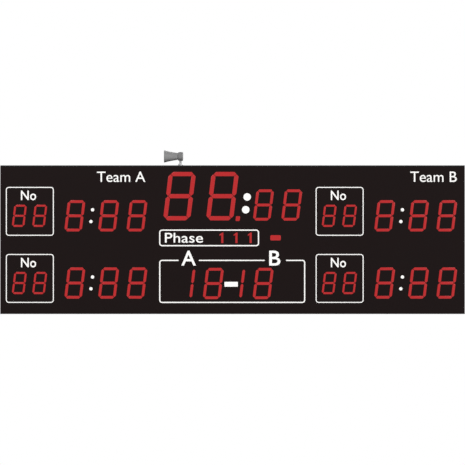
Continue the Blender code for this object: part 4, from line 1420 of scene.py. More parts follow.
@dataclass
class DigitLayout:
    """Where the groups lie: margins from the cabinet's edges, and gaps between the digits."""

    cabinet: Cabinet
    timer_gap: float = 0.0695
    clock_margin: float = 0.0425
    clock_gap: float = 0.101
    clock_colon_gap: float = 0.1203
    clock_shift: float = 0.0049
    seconds_fall: float = 0.0013
    point_gap: float = 0.0115
    point_fall: float = 0.0115
    point_width: float = 0.027
    point_height: float = 0.031
    period_gap: float = 0.0785
    period_first: float = -0.066
    period_pitch: float = 0.0915
    dash_gap: float = 0.120
    dash_width: float = 0.068
    dash_height: float = 0.034
    score_rise: float = 0.197
    score_shift: float = -0.0545
    score_team_gap: float = 0.0255
    upper_row_drop: float = 0.326
    lower_row_rise: float = 0.200
    home_margin: float = 0.0828
    guest_margin: float = 0.0593
    player_gap: float = 0.0503
    player_to_time_gap: float = 0.1296
    penalty_colon_gap: float = 0.1045

    def clock(self) -> LampGroup:
        """Minutes in the large digits, seconds in the smaller ones, and the decimal point.

        Returns:
            The group's lamps, in their places under the top edge.
        """
        run = [
            (DigitSize.CLOCK, 0.0), (DigitSize.CLOCK, self.clock_gap),
            (DigitSize.TIMER, self.clock_colon_gap), (DigitSize.TIMER, self.timer_gap),
        ]
        size = DigitSize.CLOCK
        bottom = self.cabinet.top - self.clock_margin - size.height
        digits = in_a_row(self.clock_shift - row_width(run) / 2, bottom + size.height / 2, run)
        seconds_z = bottom - self.seconds_fall + DigitSize.TIMER.height / 2
        digits = digits[:2] + [replace(item, z=seconds_z) for item in digits[2:]]
        point = PlateLamp(
            digits[1].x + size.width / 2 + self.point_gap, bottom + self.point_fall,
            self.point_width, self.point_height, corner=0.006, slant=SLANT, columns=2, rows=2,
        )
        return LampGroup("clock", self.cabinet, digits, [point])

    def period(self) -> LampGroup:
        """Three numerals for the periods gone, and the dash lamp.

        Returns:
            The group's lamps, in a row below the clock.
        """
        bottom = self.cabinet.top - self.clock_margin - DigitSize.CLOCK.height
        z = bottom - self.period_gap - NumeralLamp.height / 2
        numerals = [NumeralLamp(self.period_first + i * self.period_pitch, z) for i in range(3)]
        dash = PlateLamp(
            numerals[-1].x + NumeralLamp.stem / 2 + self.dash_gap + self.dash_width / 2, z,
            self.dash_width, self.dash_height, corner=0.008, slant=0.0, columns=5, rows=2,
        )
        return LampGroup("period", self.cabinet, [], [*numerals, dash])

    def score(self) -> LampGroup:
        """Each team's score: a fixed one of two bars, then a full digit.

        Returns:
            The group's lamps, in a row above the bottom edge.
        """
        run = [
            (DigitSize.TIMER, 0.0), (DigitSize.TIMER, self.timer_gap),
            (DigitSize.TIMER, self.score_team_gap), (DigitSize.TIMER, self.timer_gap),
        ]
        z = self.cabinet.bottom + self.score_rise
        digits = in_a_row(self.score_shift - row_width(run) / 2, z, run)
        bars = (ONE_BARS, ALL_BARS) * 2
        kept = [replace(item, bars=lit) for item, lit in zip(digits, bars)]
        return LampGroup("score", self.cabinet, kept)

    def penalties(self) -> list[LampGroup]:
        """A player's number and a penalty time, twice for each team.

        Returns:
            The four groups, the home team's first.
        """
        run = [
            (DigitSize.PLAYER, 0.0), (DigitSize.PLAYER, self.player_gap),
            (DigitSize.TIMER, self.player_to_time_gap), (DigitSize.TIMER, self.penalty_colon_gap),
            (DigitSize.TIMER, self.timer_gap),
        ]
        lefts = {
            "home": self.cabinet.left + self.home_margin,
            "guest": self.cabinet.right - self.guest_margin - row_width(run),
        }
        heights = (
            self.cabinet.top - self.upper_row_drop, self.cabinet.bottom + self.lower_row_rise,
        )
        return [
            LampGroup(f"{side}_penalty_{row}", self.cabinet, in_a_row(left, z, run))
            for side, left in lefts.items() for row, z in enumerate(heights, start=1)
        ]


class Weight(Enum):
    """How heavy a label's letters are: what their outlines gain, in letter heights."""

    REGULAR = 0.0
    MEDIUM = 0.005
    BOLD = 0.011


@dataclass(frozen=True)
class Label:
    """Plain lettering on the front: its words, centre, capital height and overall width."""

    name: str
    words: str
    x: float
    drop: float
    height: float
    width: float
    weight: Weight = Weight.REGULAR


@dataclass(frozen=True)
class Outline:
    """A printed frame: its centre, its size between the middles of its lines, and their width."""

    x: float
    drop: float
    width: float
    height: float
    line: float
    corner: float = 0.019

    def edge(self, inset: float) -> np.ndarray:
        """Its round-cornered outer edge about its centre, drawn in by an inset."""
        width, height = self.width + self.line, self.height + self.line
        return rounded(width, height, self.corner, inset, 8)


@dataclass
class Printing:
    """White vinyl on the front: frames, colons, the score dash and the labels."""

    cabinet: Cabinet
    film: float = 0.00025
    ease: float = 0.00008
    line: float = 0.0076
    number_line: float = 0.0058

    def facing(self, x: float, drop: float) -> Mapping:
        """A map to the front's surface, about a point at x and a drop from the top edge."""
        return Facing.FRONT.at(x, self.cabinet.front - TOUCH, self.cabinet.top - drop)

    def section(self, line: float) -> list[tuple[float, float]]:
        """A strip's section: insets and heights, up its outer side, across and down.

        Args:
            line: the strip's width.

        Returns:
            An inset and a height for each of its corners.
        """
        film, ease = self.film, self.ease
        return [
            (0.0, 0.0), (0.0, film - ease), (ease, film), (line - ease, film),
            (line, film - ease), (line, 0.0),
        ]

    def frame(self, outline: Outline) -> Patch:
        """A closed frame.

        Args:
            outline: its place, size and line.

        Returns:
            The strip in its place.
        """
        loops = stacked(outline.edge, self.section(outline.line))
        return loft(loops, tube=True).moved(self.facing(outline.x, outline.drop))

    def broken_frame(
        self, outline: Outline, left_gap: tuple[float, float], right_gap: tuple[float, float]
    ) -> Patch:
        """A frame whose top line has two breaks.

        Args:
            outline: its place, size and line.
            left_gap: where the left break starts and ends across the board.
            right_gap: where the right break starts and ends.

        Returns:
            A strip that goes round from the left break to the right one, and the short strip
            between the breaks.
        """
        def round_trip(inset: float) -> np.ndarray:
            """The strip's path, from the left break round the frame to the right break.

            Args:
                inset: how far it is drawn in.

            Returns:
                Its points about the frame's centre.
            """
            edge = outline.edge(inset)
            top = edge[:, 1].max()
            from_left = np.roll(edge, -len(edge) // 4, axis=0)
            return np.concatenate([
                [(left_gap[0] - outline.x, top)], from_left, [(right_gap[1] - outline.x, top)],
            ])

        def between(inset: float) -> np.ndarray:
            """The two ends of the short strip's path, drawn in by an inset."""
            top = outline.edge(inset)[:, 1].max()
            return np.array([(right_gap[0] - outline.x, top), (left_gap[1] - outline.x, top)])

        strips = [
            loft(stacked(path, self.section(outline.line)), ring=False, tube=True)
            for path in (round_trip, between)
        ]
        return joined(strips).moved(self.facing(outline.x, outline.drop))

    def dot(self, radius: float) -> Patch:
        """A colon's dot."""
        film, ease = self.film, self.ease
        return turned([(radius, 0.0), (radius, film - ease), (radius - ease, film)], 40)

    def build_frames(self) -> None:
        """The four number frames, the period frame and the broken score frame."""
        columns, drops = (-1.3086, 0.6917), (0.2971, 0.7303)
        squares = [
            self.frame(Outline(x, drop, 0.3034, 0.3092, self.number_line))
            for x in columns for drop in drops
        ]
        self.add("number_frames", joined(squares))
        period = Outline(-0.1509, 0.4686, 0.6374, 0.1004, self.line)
        self.add("period_frame", self.frame(period))
        score = Outline(-0.0018, 0.7495, 0.9354, 0.2712, self.line)
        left_gap, right_gap = (-0.3487, -0.2173), (0.2078, 0.3461)
        self.add("score_frame", self.broken_frame(score, left_gap, right_gap))

    def build_dots(self) -> None:
        """The clock's colon, the penalty colons and the dash between the scores."""
        clock_dots, large = ((0.0947, 0.2043), (0.0853, 0.2868)), self.dot(0.0242)
        clock = [large.moved(self.facing(x, drop)) for x, drop in clock_dots]
        self.add("clock_colon", joined(clock))
        penalty_dots, small = ((-0.9036, 0.287), (-0.9141, 0.363)), self.dot(0.0107)
        team_pitch, row_pitch = 2.001, 0.434
        penalties = [
            small.moved(self.facing(x + across, drop + down))
            for x, drop in penalty_dots for across in (0.0, team_pitch) for down in (0.0, row_pitch)
        ]
        self.add("penalty_colons", joined(penalties))
        dash = slab(0.0865, 0.0315, self.film, corner=0.003, edge=self.ease, steps=4)
        self.add("score_dash", dash.moved(self.facing(-0.0085, 0.768)))

    def build_label(self, label: Label) -> None:
        """Letters cut from film: a text curve made mesh, set to its width and capital height.

        Args:
            label: what it says, and its place and size.
        """
        text = bpy.data.curves.new(label.name, "FONT")
        text.body = label.words
        text.offset = label.weight.value
        text.space_character = 1.0 + 4.0 * label.weight.value
        text.extrude = self.film / 2
        text.resolution_u = 6
        letters = linked(label.name, text)
        bpy.context.view_layer.update()
        depsgraph = bpy.context.evaluated_depsgraph_get()
        mesh = bpy.data.meshes.new_from_object(letters.evaluated_get(depsgraph))
        bpy.data.objects.remove(letters)
        flat = np.zeros(len(mesh.vertices) * 3, np.float32)
        mesh.vertices.foreach_get("co", flat)
        flat = flat.reshape(-1, 3).astype(float)
        low, high = flat[:, :2].min(0), flat[:, :2].max(0)
        size = np.array((label.width, label.height))
        flat[:, :2] = (flat[:, :2] - (low + high) / 2) * size / (high - low)
        flat[:, 2] += self.film / 2
        placed = self.facing(label.x, label.drop)(flat)
        mesh.vertices.foreach_set("co", placed.astype(np.float32).ravel())
        mesh.update()
        mesh.name = label.name
        settle(mesh, Finish.VINYL, "door")

    def build_labels(self) -> None:
        """Plain team names, number and game part labels, and the score's team numbers."""
        labels = [
            Label("home_name", "Team A", -0.719, 0.074, 0.0675, 0.312),
            Label("guest_name", "Team B", 1.298, 0.074, 0.0675, 0.300),
            Label("part_label", "Phase", -0.3135, 0.468, 0.064, 0.246, Weight.MEDIUM),
            Label("home_score_label", "A", -0.283, 0.599, 0.0965, 0.094, Weight.BOLD),
            Label("guest_score_label", "B", 0.273, 0.599, 0.0965, 0.072, Weight.BOLD),
        ]
        for side, x in (("home", -1.317), ("guest", 0.684)):
            for row, drop in ((1, 0.194), (2, 0.628)):
                name = f"{side}_number_label_{row}"
                labels.append(Label(name, "No", x, drop, 0.062, 0.098, Weight.BOLD))
        for label in labels:
            self.build_label(label)

    def add(self, name: str, patch: Patch) -> None:
        """One white piece on the door."""
        add_piece(name, patch, Finish.VINYL, "door")

    def build(self) -> None:
        """Makes everything that is printed on the front."""
        self.build_frames()
        self.build_dots()
        self.build_labels()


@dataclass
class Horn:
    """The signal horn: a spun bell, a driver with its knob, and the bracket that aims it."""

    steps: int = 64
    lip: float = 0.0022
    wall: float = 0.0015
    throat: float = 0.0225
    nose: float = 0.006
    ribs: int = 4
    cap: float = 0.0045
    screw_circle: float = 0.017
    strap_width: float = 0.016
    strap_thickness: float = 0.003
    bore_radius: float = 0.0053
    disc_thickness: float = 0.003
    ease: float = 0.0005

    def axis(self) -> tuple[float, float]:
        """Y and Z of the bell's and the driver's common axis."""
        low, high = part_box("horn_bell")
        return (low.y + high.y) / 2, (low.z + high.z) / 2

    def build_bell(self) -> None:
        """The bell: its radius grows by a steady ratio from throat to mouth, with a rolled lip."""
        low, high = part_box("horn_bell")
        middle = (low + high) / 2
        mouth, length = (high.z - low.z) / 2, high.x - low.x
        share = np.linspace(0.0, 1.0, 25)
        heights = share * (length - self.lip)
        radii = self.throat * ((mouth - self.lip * 0.4) / self.throat) ** share
        turns = np.radians(np.linspace(-90.0, 180.0, 13))
        lip_r = radii[-1] - self.lip * 0.6 + self.lip * np.cos(turns) * 0.999
        lip_h = heights[-1] + self.lip * np.sin(turns)
        outer = np.column_stack([radii, heights])
        lip = np.column_stack([lip_r, lip_h])
        inner = np.column_stack([radii - self.wall, heights])[::-1]
        profile = np.concatenate([outer[:-1], lip, inner[1:]])
        bell = turned(profile, self.steps, tube=True)
        place = Facing.LEFT.at(high.x, middle.y, middle.z)
        add_piece("spun_bell", bell.moved(place), Finish.HORN, "horn", ["horn_bell"])

    def can_profile(self, radius: float, length: float) -> list[tuple[float, float]]:
        """The driver's section: an eased rear cap, evenly spaced ribs and a coned nose.

        Args:
            radius: its radius over the ribs.
            length: its length.

        Returns:
            Radius and height pairs, from the cap to the nose.
        """
        end = length - self.nose
        pitch = (end - self.cap) / self.ribs
        rib = (
            (0.0, 0.08), (0.0, 0.62), (0.0008, 0.70), (0.0022, 0.74), (0.0022, 0.94),
            (0.0008, 0.98),
        )
        ribs = [
            (radius - sunk, self.cap + i * pitch + pitch * share)
            for i in range(self.ribs) for sunk, share in rib
        ]
        return [
            (radius - 0.0055, 0.0), (radius - 0.0030, 0.0003), (radius - 0.0012, 0.0014),
            (radius - 0.0003, 0.0032), *ribs[:-1], (radius - 0.0004, end + 0.0002),
            (0.0243, length - 0.0022), (0.0231, length - 0.0016), (0.0212, length - 0.0014),
            (0.0212, length),
        ]

    def build_driver(self) -> None:
        """The driver's ribbed can, its tilt knob on a stud, and the screws in its rear cap."""
        low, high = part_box("horn_driver")
        axis_y, axis_z = self.axis()
        middle_x, radius, gap = (low.x + high.x) / 2, (high.z - low.z) / 2, 0.0003
        body = turned(self.can_profile(radius, high.x - low.x), self.steps)
        body = body.moved(Facing.LEFT.at(high.x, axis_y, axis_z))
        stud_root, stud_radius = axis_y + radius * 0.5, 0.005
        seat_y = axis_y + radius + 0.0045
        stud = turned([(stud_radius, 0.0), (stud_radius, seat_y - stud_root + 0.002)], 24)
        stud = stud.moved(Facing.REAR.at(middle_x, stud_root, axis_z))
        add_piece("horn_can", joined([body, stud]), Finish.HORN, "horn", ["horn_driver"])
        knob = self.knob_patch(0.0100, high.y - seat_y - gap)
        knob = knob.moved(Facing.REAR.at(middle_x, seat_y + gap, axis_z))
        add_piece("tilt_knob", knob, Finish.BLACK_PLASTIC, "horn")
        sunk = 0.0002
        places = [
            (high.x - sunk, axis_y + self.screw_circle * math.cos(turn),
             axis_z + self.screw_circle * math.sin(turn))
            for turn in np.radians((45, 135, 225, 315))
        ]
        Head.CAP_SCREW.add("horn_cap_screws", Facing.RIGHT, places, "horn")

    def knob_patch(self, radius: float, height: float) -> Patch:
        """A grip knob whose radius swings by a twentieth, eight times round.

        Args:
            radius: the radius over the ridges.
            height: its height over its seat.

        Returns:
            The knob, from its seat outwards.
        """
        steps, ridges = 64, 8
        turns = np.linspace(0.0, 2 * np.pi, steps, endpoint=False)
        grip = radius * (0.95 + 0.05 * np.cos(ridges * turns))
        profile = [
            (0.80, 0.0), (0.96, 0.06), (1.0, 0.16), (1.0, 0.80), (0.95, 0.92), (0.82, 1.0),
            (0.50, 1.0), (0.46, 0.94), (0.20, 0.92),
        ]
        ring = circle(steps)
        return loft(levelled(
            (ring * (share * grip)[:, None], height * rise) for share, rise in profile
        ))

    def build_bracket(self) -> None:
        """The leg, a strap with a round top and a bore, on its swivel disc."""
        low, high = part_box("horn_leg")
        axis_z = self.axis()[1]
        middle_x = (low.x + high.x) / 2
        half, thick, ease = self.strap_width / 2, self.strap_thickness, self.ease
        disc_r, disc_t = (high.x - low.x) / 2, self.disc_thickness
        pan_y = (low.y + high.y) / 2
        disc_low = low.z + 0.005
        drop = axis_z - disc_low - disc_t / 2

        def strap(inset: float) -> np.ndarray:
            """The strap's outline about the bore, down to its foot.

            Args:
                inset: how far it is drawn in.

            Returns:
                Its points, anticlockwise from the right of the bore.
            """
            side = half - inset
            upper = arc(0.0, 0.0, side, 0, 180, 24)
            left = np.column_stack([np.full(8, -side), np.linspace(-0.004, -drop, 8)])
            foot = np.column_stack([np.linspace(-side, side, 8)[1:-1], np.full(6, -drop)])
            right = left[::-1] * np.array((-1, 1))
            return np.concatenate([upper, left, foot, right])

        edge = strap(0.0)
        angles = np.arctan2(edge[:, 1], edge[:, 0])
        bore = self.bore_radius * np.column_stack([np.cos(angles), np.sin(angles)])
        levels = [
            (strap(ease), 0.0), (edge, ease), (edge, thick - ease), (strap(ease), thick),
            (bore, thick), (bore, 0.0),
        ]
        place = Facing.FRONT.at(middle_x, pan_y + thick / 2, axis_z)
        leg = loft(levelled(levels), tube=True).moved(place)
        disc = turned([
            (0.004, -0.005), (0.004, 0.0), (disc_r - ease, 0.0), (disc_r, ease),
            (disc_r, disc_t - ease), (disc_r - ease, disc_t),
        ], 48).moved(Facing.UP.at(middle_x, pan_y, disc_low))
        add_piece("horn_strap", joined([leg, disc]), Finish.BRACKET, "horn_bracket", ["horn_leg"])

    def build_foot(self) -> None:
        """The foot on the cabinet's top: a turned boss with a bored seat for the swivel."""
        low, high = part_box("horn_foot")
        middle = (low + high) / 2
        radius, height = (high.x - low.x) / 2, high.z - low.z
        ease = 0.0007
        profile = [
            (radius - ease * 0.3, 0.0), (radius, ease * 0.3), (radius, height - ease),
            (radius - ease, height), (0.0048, height), (0.0043, height - 0.0005),
            (0.0043, height - 0.0053), (0.0005, height - 0.0053),
        ]
        foot = turned(profile, 48).moved(Facing.UP.at(middle.x, middle.y, low.z))
        add_piece("horn_boss", foot, Finish.BRACKET, "cabinet", ["horn_foot"])

    def build(self) -> None:
        """Makes the horn and what holds it."""
        self.build_bell()
        self.build_driver()
        self.build_bracket()
        self.build_foot()


@dataclass
class Fasteners:
    """Rivets and screws on the cabinet and the door."""

    cabinet: Cabinet
    pitch: float = 0.125

    def spread(self, low: float, high: float) -> np.ndarray:
        """Evenly spaced places from low to high, about one pitch apart."""
        return np.linspace(low, high, max(round((high - low) / self.pitch), 1) + 1)

    def build_back(self) -> None:
        """Rivets round each back sheet."""
        places = []
        inset, back = 0.012, self.cabinet.back
        for side in SIDES:
            low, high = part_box(f"{side}_back_panel")
            across = self.spread(low.x + inset, high.x - inset)
            for z in (low.z + inset, high.z - inset):
                places += [(x, back, z) for x in across]
            upright = self.spread(low.z + inset, high.z - inset)[1:-1]
            places += [(x, back, z) for x in (low.x + inset, high.x - inset) for z in upright]
        Head.BACK_RIVET.add("back_rivets", Facing.REAR, places, "cabinet")

    def build_ends(self) -> None:
        """Flush screws that hold the end plates to the profiles."""
        depth = self.cabinet.back - self.cabinet.front
        inset, reach = 0.0125, 0.16
        spots = [
            (self.cabinet.front + depth * share, z)
            for z in (self.cabinet.top - inset, self.cabinet.bottom + inset)
            for share in (0.30, 0.62, 0.90)
        ]
        spots += [
            (self.cabinet.back - 0.010, z)
            for z in self.spread(self.cabinet.bottom + reach, self.cabinet.top - reach)
        ]
        for side, facing, x in (
            ("left", Facing.LEFT, self.cabinet.left), ("right", Facing.RIGHT, self.cabinet.right),
        ):
            places = [(x, y, z) for y, z in spots]
            Head.END_SCREW.add(f"{side}_end_screws", facing, places, "cabinet")

    def build_hinge(self) -> None:
        """Rivets through both leaves of the continuous hinge."""
        low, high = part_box("cabinet_hinge_leaf")
        across = self.spread(low.x + 0.03, high.x - 0.03)
        half_leaf = 0.00075
        leaf_z = (low.z + high.z) / 2 - half_leaf
        places = [(x, high.y - 0.006, leaf_z) for x in across]
        Head.HINGE_RIVET.add("cabinet_leaf_rivets", Facing.DOWN, places, "cabinet")
        low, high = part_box("door_hinge_leaf")
        leaf_y = (low.y + high.y) / 2 + half_leaf
        places = [(x, leaf_y, low.z + 0.005) for x in across]
        Head.HINGE_RIVET.add("door_leaf_rivets", Facing.REAR, places, "door")

    def build_wall_rail(self) -> None:
        """Painted shade for the slotted fixing holes along the wall rail, seen from the wall's
        side: thin black patches, not cut holes.
        """
        low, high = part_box("wall_rail")
        middle, inset = (low.z + high.z) / 2, 0.05
        # each slot's dark inside is painted shade: a thin black slab laid on the rail's face
        slot = slab(0.020, 0.009, 0.0002, corner=0.0044, edge=0.00005, steps=6)
        across = np.linspace(low.x + inset, high.x - inset, 14)
        places = [(x, high.y - TOUCH, middle) for x in across]
        add_copies("wall_rail_slot_shade", slot, Facing.REAR, places, Finish.RUBBER_AND_SLOT_SHADE, "cabinet")

    def build_top(self) -> None:
        """Flush screws down through the top web into the hinge's fixed leaf."""
        y, z, inset = self.cabinet.front + 0.020, self.cabinet.top, 0.05
        across = self.spread(self.cabinet.left + inset, self.cabinet.right - inset)
        Head.TOP_SCREW.add("top_screws", Facing.UP, [(x, y, z) for x in across], "cabinet")

    def build_door(self) -> None:
        """Screws along the door's stiffening rails."""
        places = []
        for rail in ("door_top_rail", "door_bottom_rail"):
            low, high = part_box(rail)
            z = (low.z + high.z) / 2
            places += [(x, high.y, z) for x in self.spread(low.x + 0.02, high.x - 0.02)]
        low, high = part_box("door_top_rail")
        for sign in (-1, 1):
            places += [
                (sign * (high.x + 0.014), high.y, z)
                for z in self.spread(self.cabinet.bottom + 0.03, self.cabinet.top - 0.05)
            ]
        Head.DOOR_SCREW.add("door_rail_screws", Facing.REAR, places, "door")

    def build_carriers(self) -> None:
        """Pairs of screws where the module rails cross the posts."""
        places = []
        for rail in MODULE_RAILS:
            low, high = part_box(rail)
            for side in ("left", "right"):
                post_low, post_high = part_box(f"{side}_post")
                middle = (post_low.x + post_high.x) / 2
                z = (low.z + high.z) / 2
                places += [(middle + step, low.y, z) for step in (-0.010, 0.010)]
        Head.CARRIER_SCREW.add("carrier_screws", Facing.FRONT, places, "cabinet")

    def build_stays(self) -> None:
        """Rivet heads on the stays: on each door ear at the pivot, on each arm at its roller."""
        ear_offset = 0.004
        for side, facing, sign in (("left", Facing.RIGHT, -1), ("right", Facing.LEFT, 1)):
            low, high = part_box(f"{side}_stay_arm")
            half = (high.y - low.y) / 2
            inner = min(abs(low.x), abs(high.x))
            pivot = (sign * (inner - ear_offset), low.y + half, high.z - half)
            roller = (sign * inner, low.y + half, low.z + half)
            Head.STAY_RIVET.add(f"{side}_ear_rivet", facing, [pivot], "door")
            Head.STAY_RIVET.add(f"{side}_roller_rivet", facing, [roller], f"{side}_stay")

    def build(self) -> None:
        """Makes every fastener."""
        self.build_back()
        self.build_ends()
        self.build_hinge()
        self.build_wall_rail()
        self.build_top()
        self.build_door()
        self.build_carriers()
        self.build_stays()


@dataclass
class Louvres:
    """Banks of pressed vents in the back sheets, open at their lower edges."""

    cabinet: Cabinet
    width: float = 0.070
    height: float = 0.009
    rise: float = 0.0035
    across: float = 0.086
    down: float = 0.019
    columns: int = 4
    rows: int = 5

    def vent(self) -> Patch:
        """One vent.

        Its section climbs as a quarter sine from the top edge to the lip, which stands square on
        the sheet. Along the vent, the section's height and drop scale with the root of one less
        the fourth power of the distance from the middle.

        Returns:
            The vent, from the sheet outwards.
        """
        share = np.linspace(-1.0, 1.0, 13)
        swell = np.sqrt(np.clip(1.0 - share ** 4, 0.0, 1.0))
        climb = np.linspace(0.0, 1.0, 6)
        section_v = np.concatenate([self.height * (0.5 - climb), [-self.height / 2]])
        section_w = np.concatenate([self.rise * np.sin(climb * np.pi / 2), [0.0]])
        loops = np.stack([
            np.repeat(share[:, None] * self.width / 2, len(section_v), axis=1),
            np.outer(0.25 + 0.75 * swell, section_v), np.outer(0.05 + 0.95 * swell, section_w),
        ], axis=-1)
        return loft(loops)

    def build(self) -> None:
        """An upper and a lower bank on each back sheet."""
        places = []
        for side in SIDES:
            low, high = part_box(f"{side}_back_panel")
            middle = (low.x + high.x) / 2
            for centre in (self.cabinet.top - 0.27, self.cabinet.bottom + 0.18):
                places += [
                    (middle + u, self.cabinet.back, centre + v)
                    for u in spaced(self.columns, self.across) for v in spaced(self.rows, self.down)
                ]
        vent = self.vent()
        add_copies("back_louvres", vent, Facing.REAR, places, Finish.BLACK_COAT, "cabinet")


@dataclass
class Latches:
    """Quarter-turn latches: a head with a square drive, a stem and a cam."""

    stem: float = 0.004
    head: float = 0.009
    head_height: float = 0.002
    drive: float = 0.0054
    cam_width: float = 0.012
    cam_thickness: float = 0.003
    ease: float = 0.0004
    steps: int = 32

    def square(self, half: float) -> np.ndarray:
        """A square of half a side, met by even rays: half over a ray's larger part along each."""
        ray = circle(self.steps)
        return ray * (half / np.abs(ray).max(axis=1))[:, None]

    def build_one(self, side: str) -> None:
        """One latch, in place of its CAD node.

        Args:
            side: left, centre or right.
        """
        low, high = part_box(f"{side}_latch")
        x = (low.x + high.x) / 2
        axis_y = high.y - self.head
        disc, pocket = circle(self.steps), self.square(self.drive / 2)
        underside = high.z - low.z
        levels = [
            (disc * self.stem, -underside + 0.0003), (disc * self.stem, -self.head_height),
            (disc * self.head, -self.head_height), (disc * self.head, -0.0006),
            (disc * (self.head - 0.0006), 0.0), (pocket * 1.15, 0.0), (pocket, -0.0005),
            (pocket, -0.0065),
        ]
        head = loft(levelled(levels)).moved(Facing.DOWN.at(x, axis_y, low.z))
        reach = axis_y - low.y - self.cam_width / 2

        def cam_outline(inset: float) -> np.ndarray:
            """The cam's outline: a bar with round ends, the first one about the stem.

            Args:
                inset: how far it is drawn in.

            Returns:
                Its points about the stem.
            """
            radius = self.cam_width / 2 - inset
            return np.concatenate([
                arc(0.0, 0.0, radius, 0, 180, 12), arc(0.0, -reach, radius, 180, 360, 12),
            ])

        ease, thick = self.ease, self.cam_thickness
        cam = loft(stacked(cam_outline, [
            (ease, 0.0), (0.0, ease), (0.0, thick - ease), (ease, thick),
        ])).moved(Facing.UP.at(x, axis_y, high.z - thick))
        add_piece(
            f"{side}_latch_detail", joined([head, cam]), Finish.ZINC, f"latch_{side}",
            [f"{side}_latch"],
        )

    def build(self) -> None:
        """Makes the three latches."""
        for side in SIDES:
            self.build_one(side)


@dataclass
class Electrics:
    """Covers and terminals on the power supplies, boxes and duct inside the cabinet."""

    def build_supply(self, side: str) -> None:
        """A power supply: perforated cover on a plain chassis, with a terminal strip.

        Args:
            side: left or right.
        """
        node = f"{side}_power_supply"
        low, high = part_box(node)
        middle = (low + high) / 2
        width, depth, height = high - low
        strip = 0.026
        cover_width = width - strip
        cover = slab(cover_width, height, depth, corner=0.0015, edge=0.0008, steps=2).moved(
            Facing.FRONT.at(low.x + cover_width / 2, high.y, middle.z)
        )
        add_piece(f"{node}_cover", cover, Finish.COVER, "cabinet", [node])
        tray = slab(strip, height, 0.004, corner=0.001, edge=0.0005).moved(
            Facing.FRONT.at(high.x - strip / 2, high.y, middle.z)
        )
        add_piece(f"{node}_tray", tray, Finish.ALUMINIUM_X, "cabinet")
        block_depth, block_x, block_y = 0.014, high.x - strip / 2, high.y - 0.004
        block = slab(0.020, height * 0.84, block_depth, corner=0.001, edge=0.0006)
        fin = slab(0.020, 0.0012, 0.0175, corner=0.0003, edge=0.0003)
        fins = fin.at_each([(0.0, v, 0.0) for v in np.linspace(-height * 0.40, height * 0.40, 9)])
        terminals = joined([block, fins]).moved(Facing.FRONT.at(block_x, block_y, middle.z))
        add_piece(f"{node}_terminals", terminals, Finish.BLACK_PLASTIC, "cabinet")
        places = [
            (block_x, block_y - block_depth, middle.z + v)
            for v in np.linspace(-height * 0.35, height * 0.35, 8)
        ]
        Head.TERMINAL_SCREW.add(f"{node}_terminal_screws", Facing.FRONT, places, "cabinet")

    def build_enclosure(self, node: str) -> None:
        """A moulded box: a base, a lid over a shadow gap, and four lid screws near its corners.

        Args:
            node: the box's CAD node.
        """
        low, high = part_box(node)
        middle = (low + high) / 2
        width, depth, height = high - low
        lid = 0.010
        levels = [
            (0.0006, 0.0), (0.0, 0.0006), (0.0, depth - lid), (0.0010, depth - lid + 0.0002),
            (0.0010, depth - lid + 0.0010), (0.0, depth - lid + 0.0012), (0.0, depth - 0.0020),
            (0.0006, depth - 0.0006), (0.0022, depth),
        ]
        shell = loft(stacked(lambda inset: rounded(width, height, 0.006, inset, 6), levels))
        shell = shell.moved(Facing.FRONT.at(middle.x, high.y, middle.z))
        add_piece(f"{node}_shell", shell, Finish.BOX, "cabinet", [node])
        inset = 0.009
        corners = [
            (middle.x + u, high.y - depth, middle.z + v)
            for u in (inset - width / 2, width / 2 - inset)
            for v in (inset - height / 2, height / 2 - inset)
        ]
        Head.LID_SCREW.add(f"{node}_lid_screws", Facing.FRONT, corners, "cabinet")

    def build_duct(self) -> None:
        """Wiring duct: a floor on the back sheet and two walls of fingers."""
        low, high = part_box("cable_duct")
        middle = (low + high) / 2
        width, depth, height = high - low
        wall, pitch, tooth = 0.002, 0.0125, 0.0085
        root = 0.007
        floor = slab(width, height, wall, corner=0.0005, edge=0.0003)
        side = slab(width, wall, root, corner=0.0004, edge=0.0003)
        finger = slab(tooth, wall, depth, corner=0.0008, edge=0.0004)
        edge_v = height / 2 - wall / 2
        sides = [side.at_each([(0.0, v, 0.0)]) for v in (-edge_v, edge_v)]
        fingers = finger.at_each([
            (u, v, 0.0) for v in (-edge_v, edge_v) for u in spaced(int(width / pitch), pitch)
        ])
        duct = joined([floor, *sides, fingers])
        duct = duct.moved(Facing.FRONT.at(middle.x, high.y, middle.z))
        add_piece("slotted_duct", duct, Finish.BOX, "cabinet", ["cable_duct"])

    def build_gland(self) -> None:
        """The cable gland: a six-sided nut under the floor and a threaded body inside, with a bore
        through it.
        """
        low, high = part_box("cable_gland")
        middle = (low + high) / 2
        outer = (high.x - low.x) / 2
        steps = 48
        turns = np.linspace(0.0, 2 * np.pi, steps, endpoint=False)
        flats = np.cos(np.pi / 6) / np.cos((turns % (np.pi / 3)) - np.pi / 6)
        total = high.z - low.z
        body_r, bore = 0.0108, 0.005
        nut, even = 0.0017, np.ones(steps)
        threads = [
            (even * (body_r - 0.0005 * (i % 2)), nut + 0.0006 + (total - nut - 0.0012) * i / 12)
            for i in range(13)
        ]
        rows = [
            (flats * outer * 0.96, 0.0), (flats * outer, 0.0004), (flats * outer, nut - 0.0002),
            *threads, (even * bore, total), (even * bore, 0.0),
        ]
        ring = circle(steps)
        loops = levelled((ring * radii[:, None], height) for radii, height in rows)
        gland = loft(loops, tube=True).moved(Facing.UP.at(middle.x, middle.y, low.z))
        add_piece("threaded_gland", gland, Finish.BLACK_PLASTIC, "cabinet", ["cable_gland"])

    def build(self) -> None:
        """Makes all the electrical pieces."""
        for side in ("left", "right"):
            self.build_supply(side)
        self.build_enclosure("controller_box")
        self.build_enclosure("terminal_box")
        self.build_duct()
        self.build_gland()


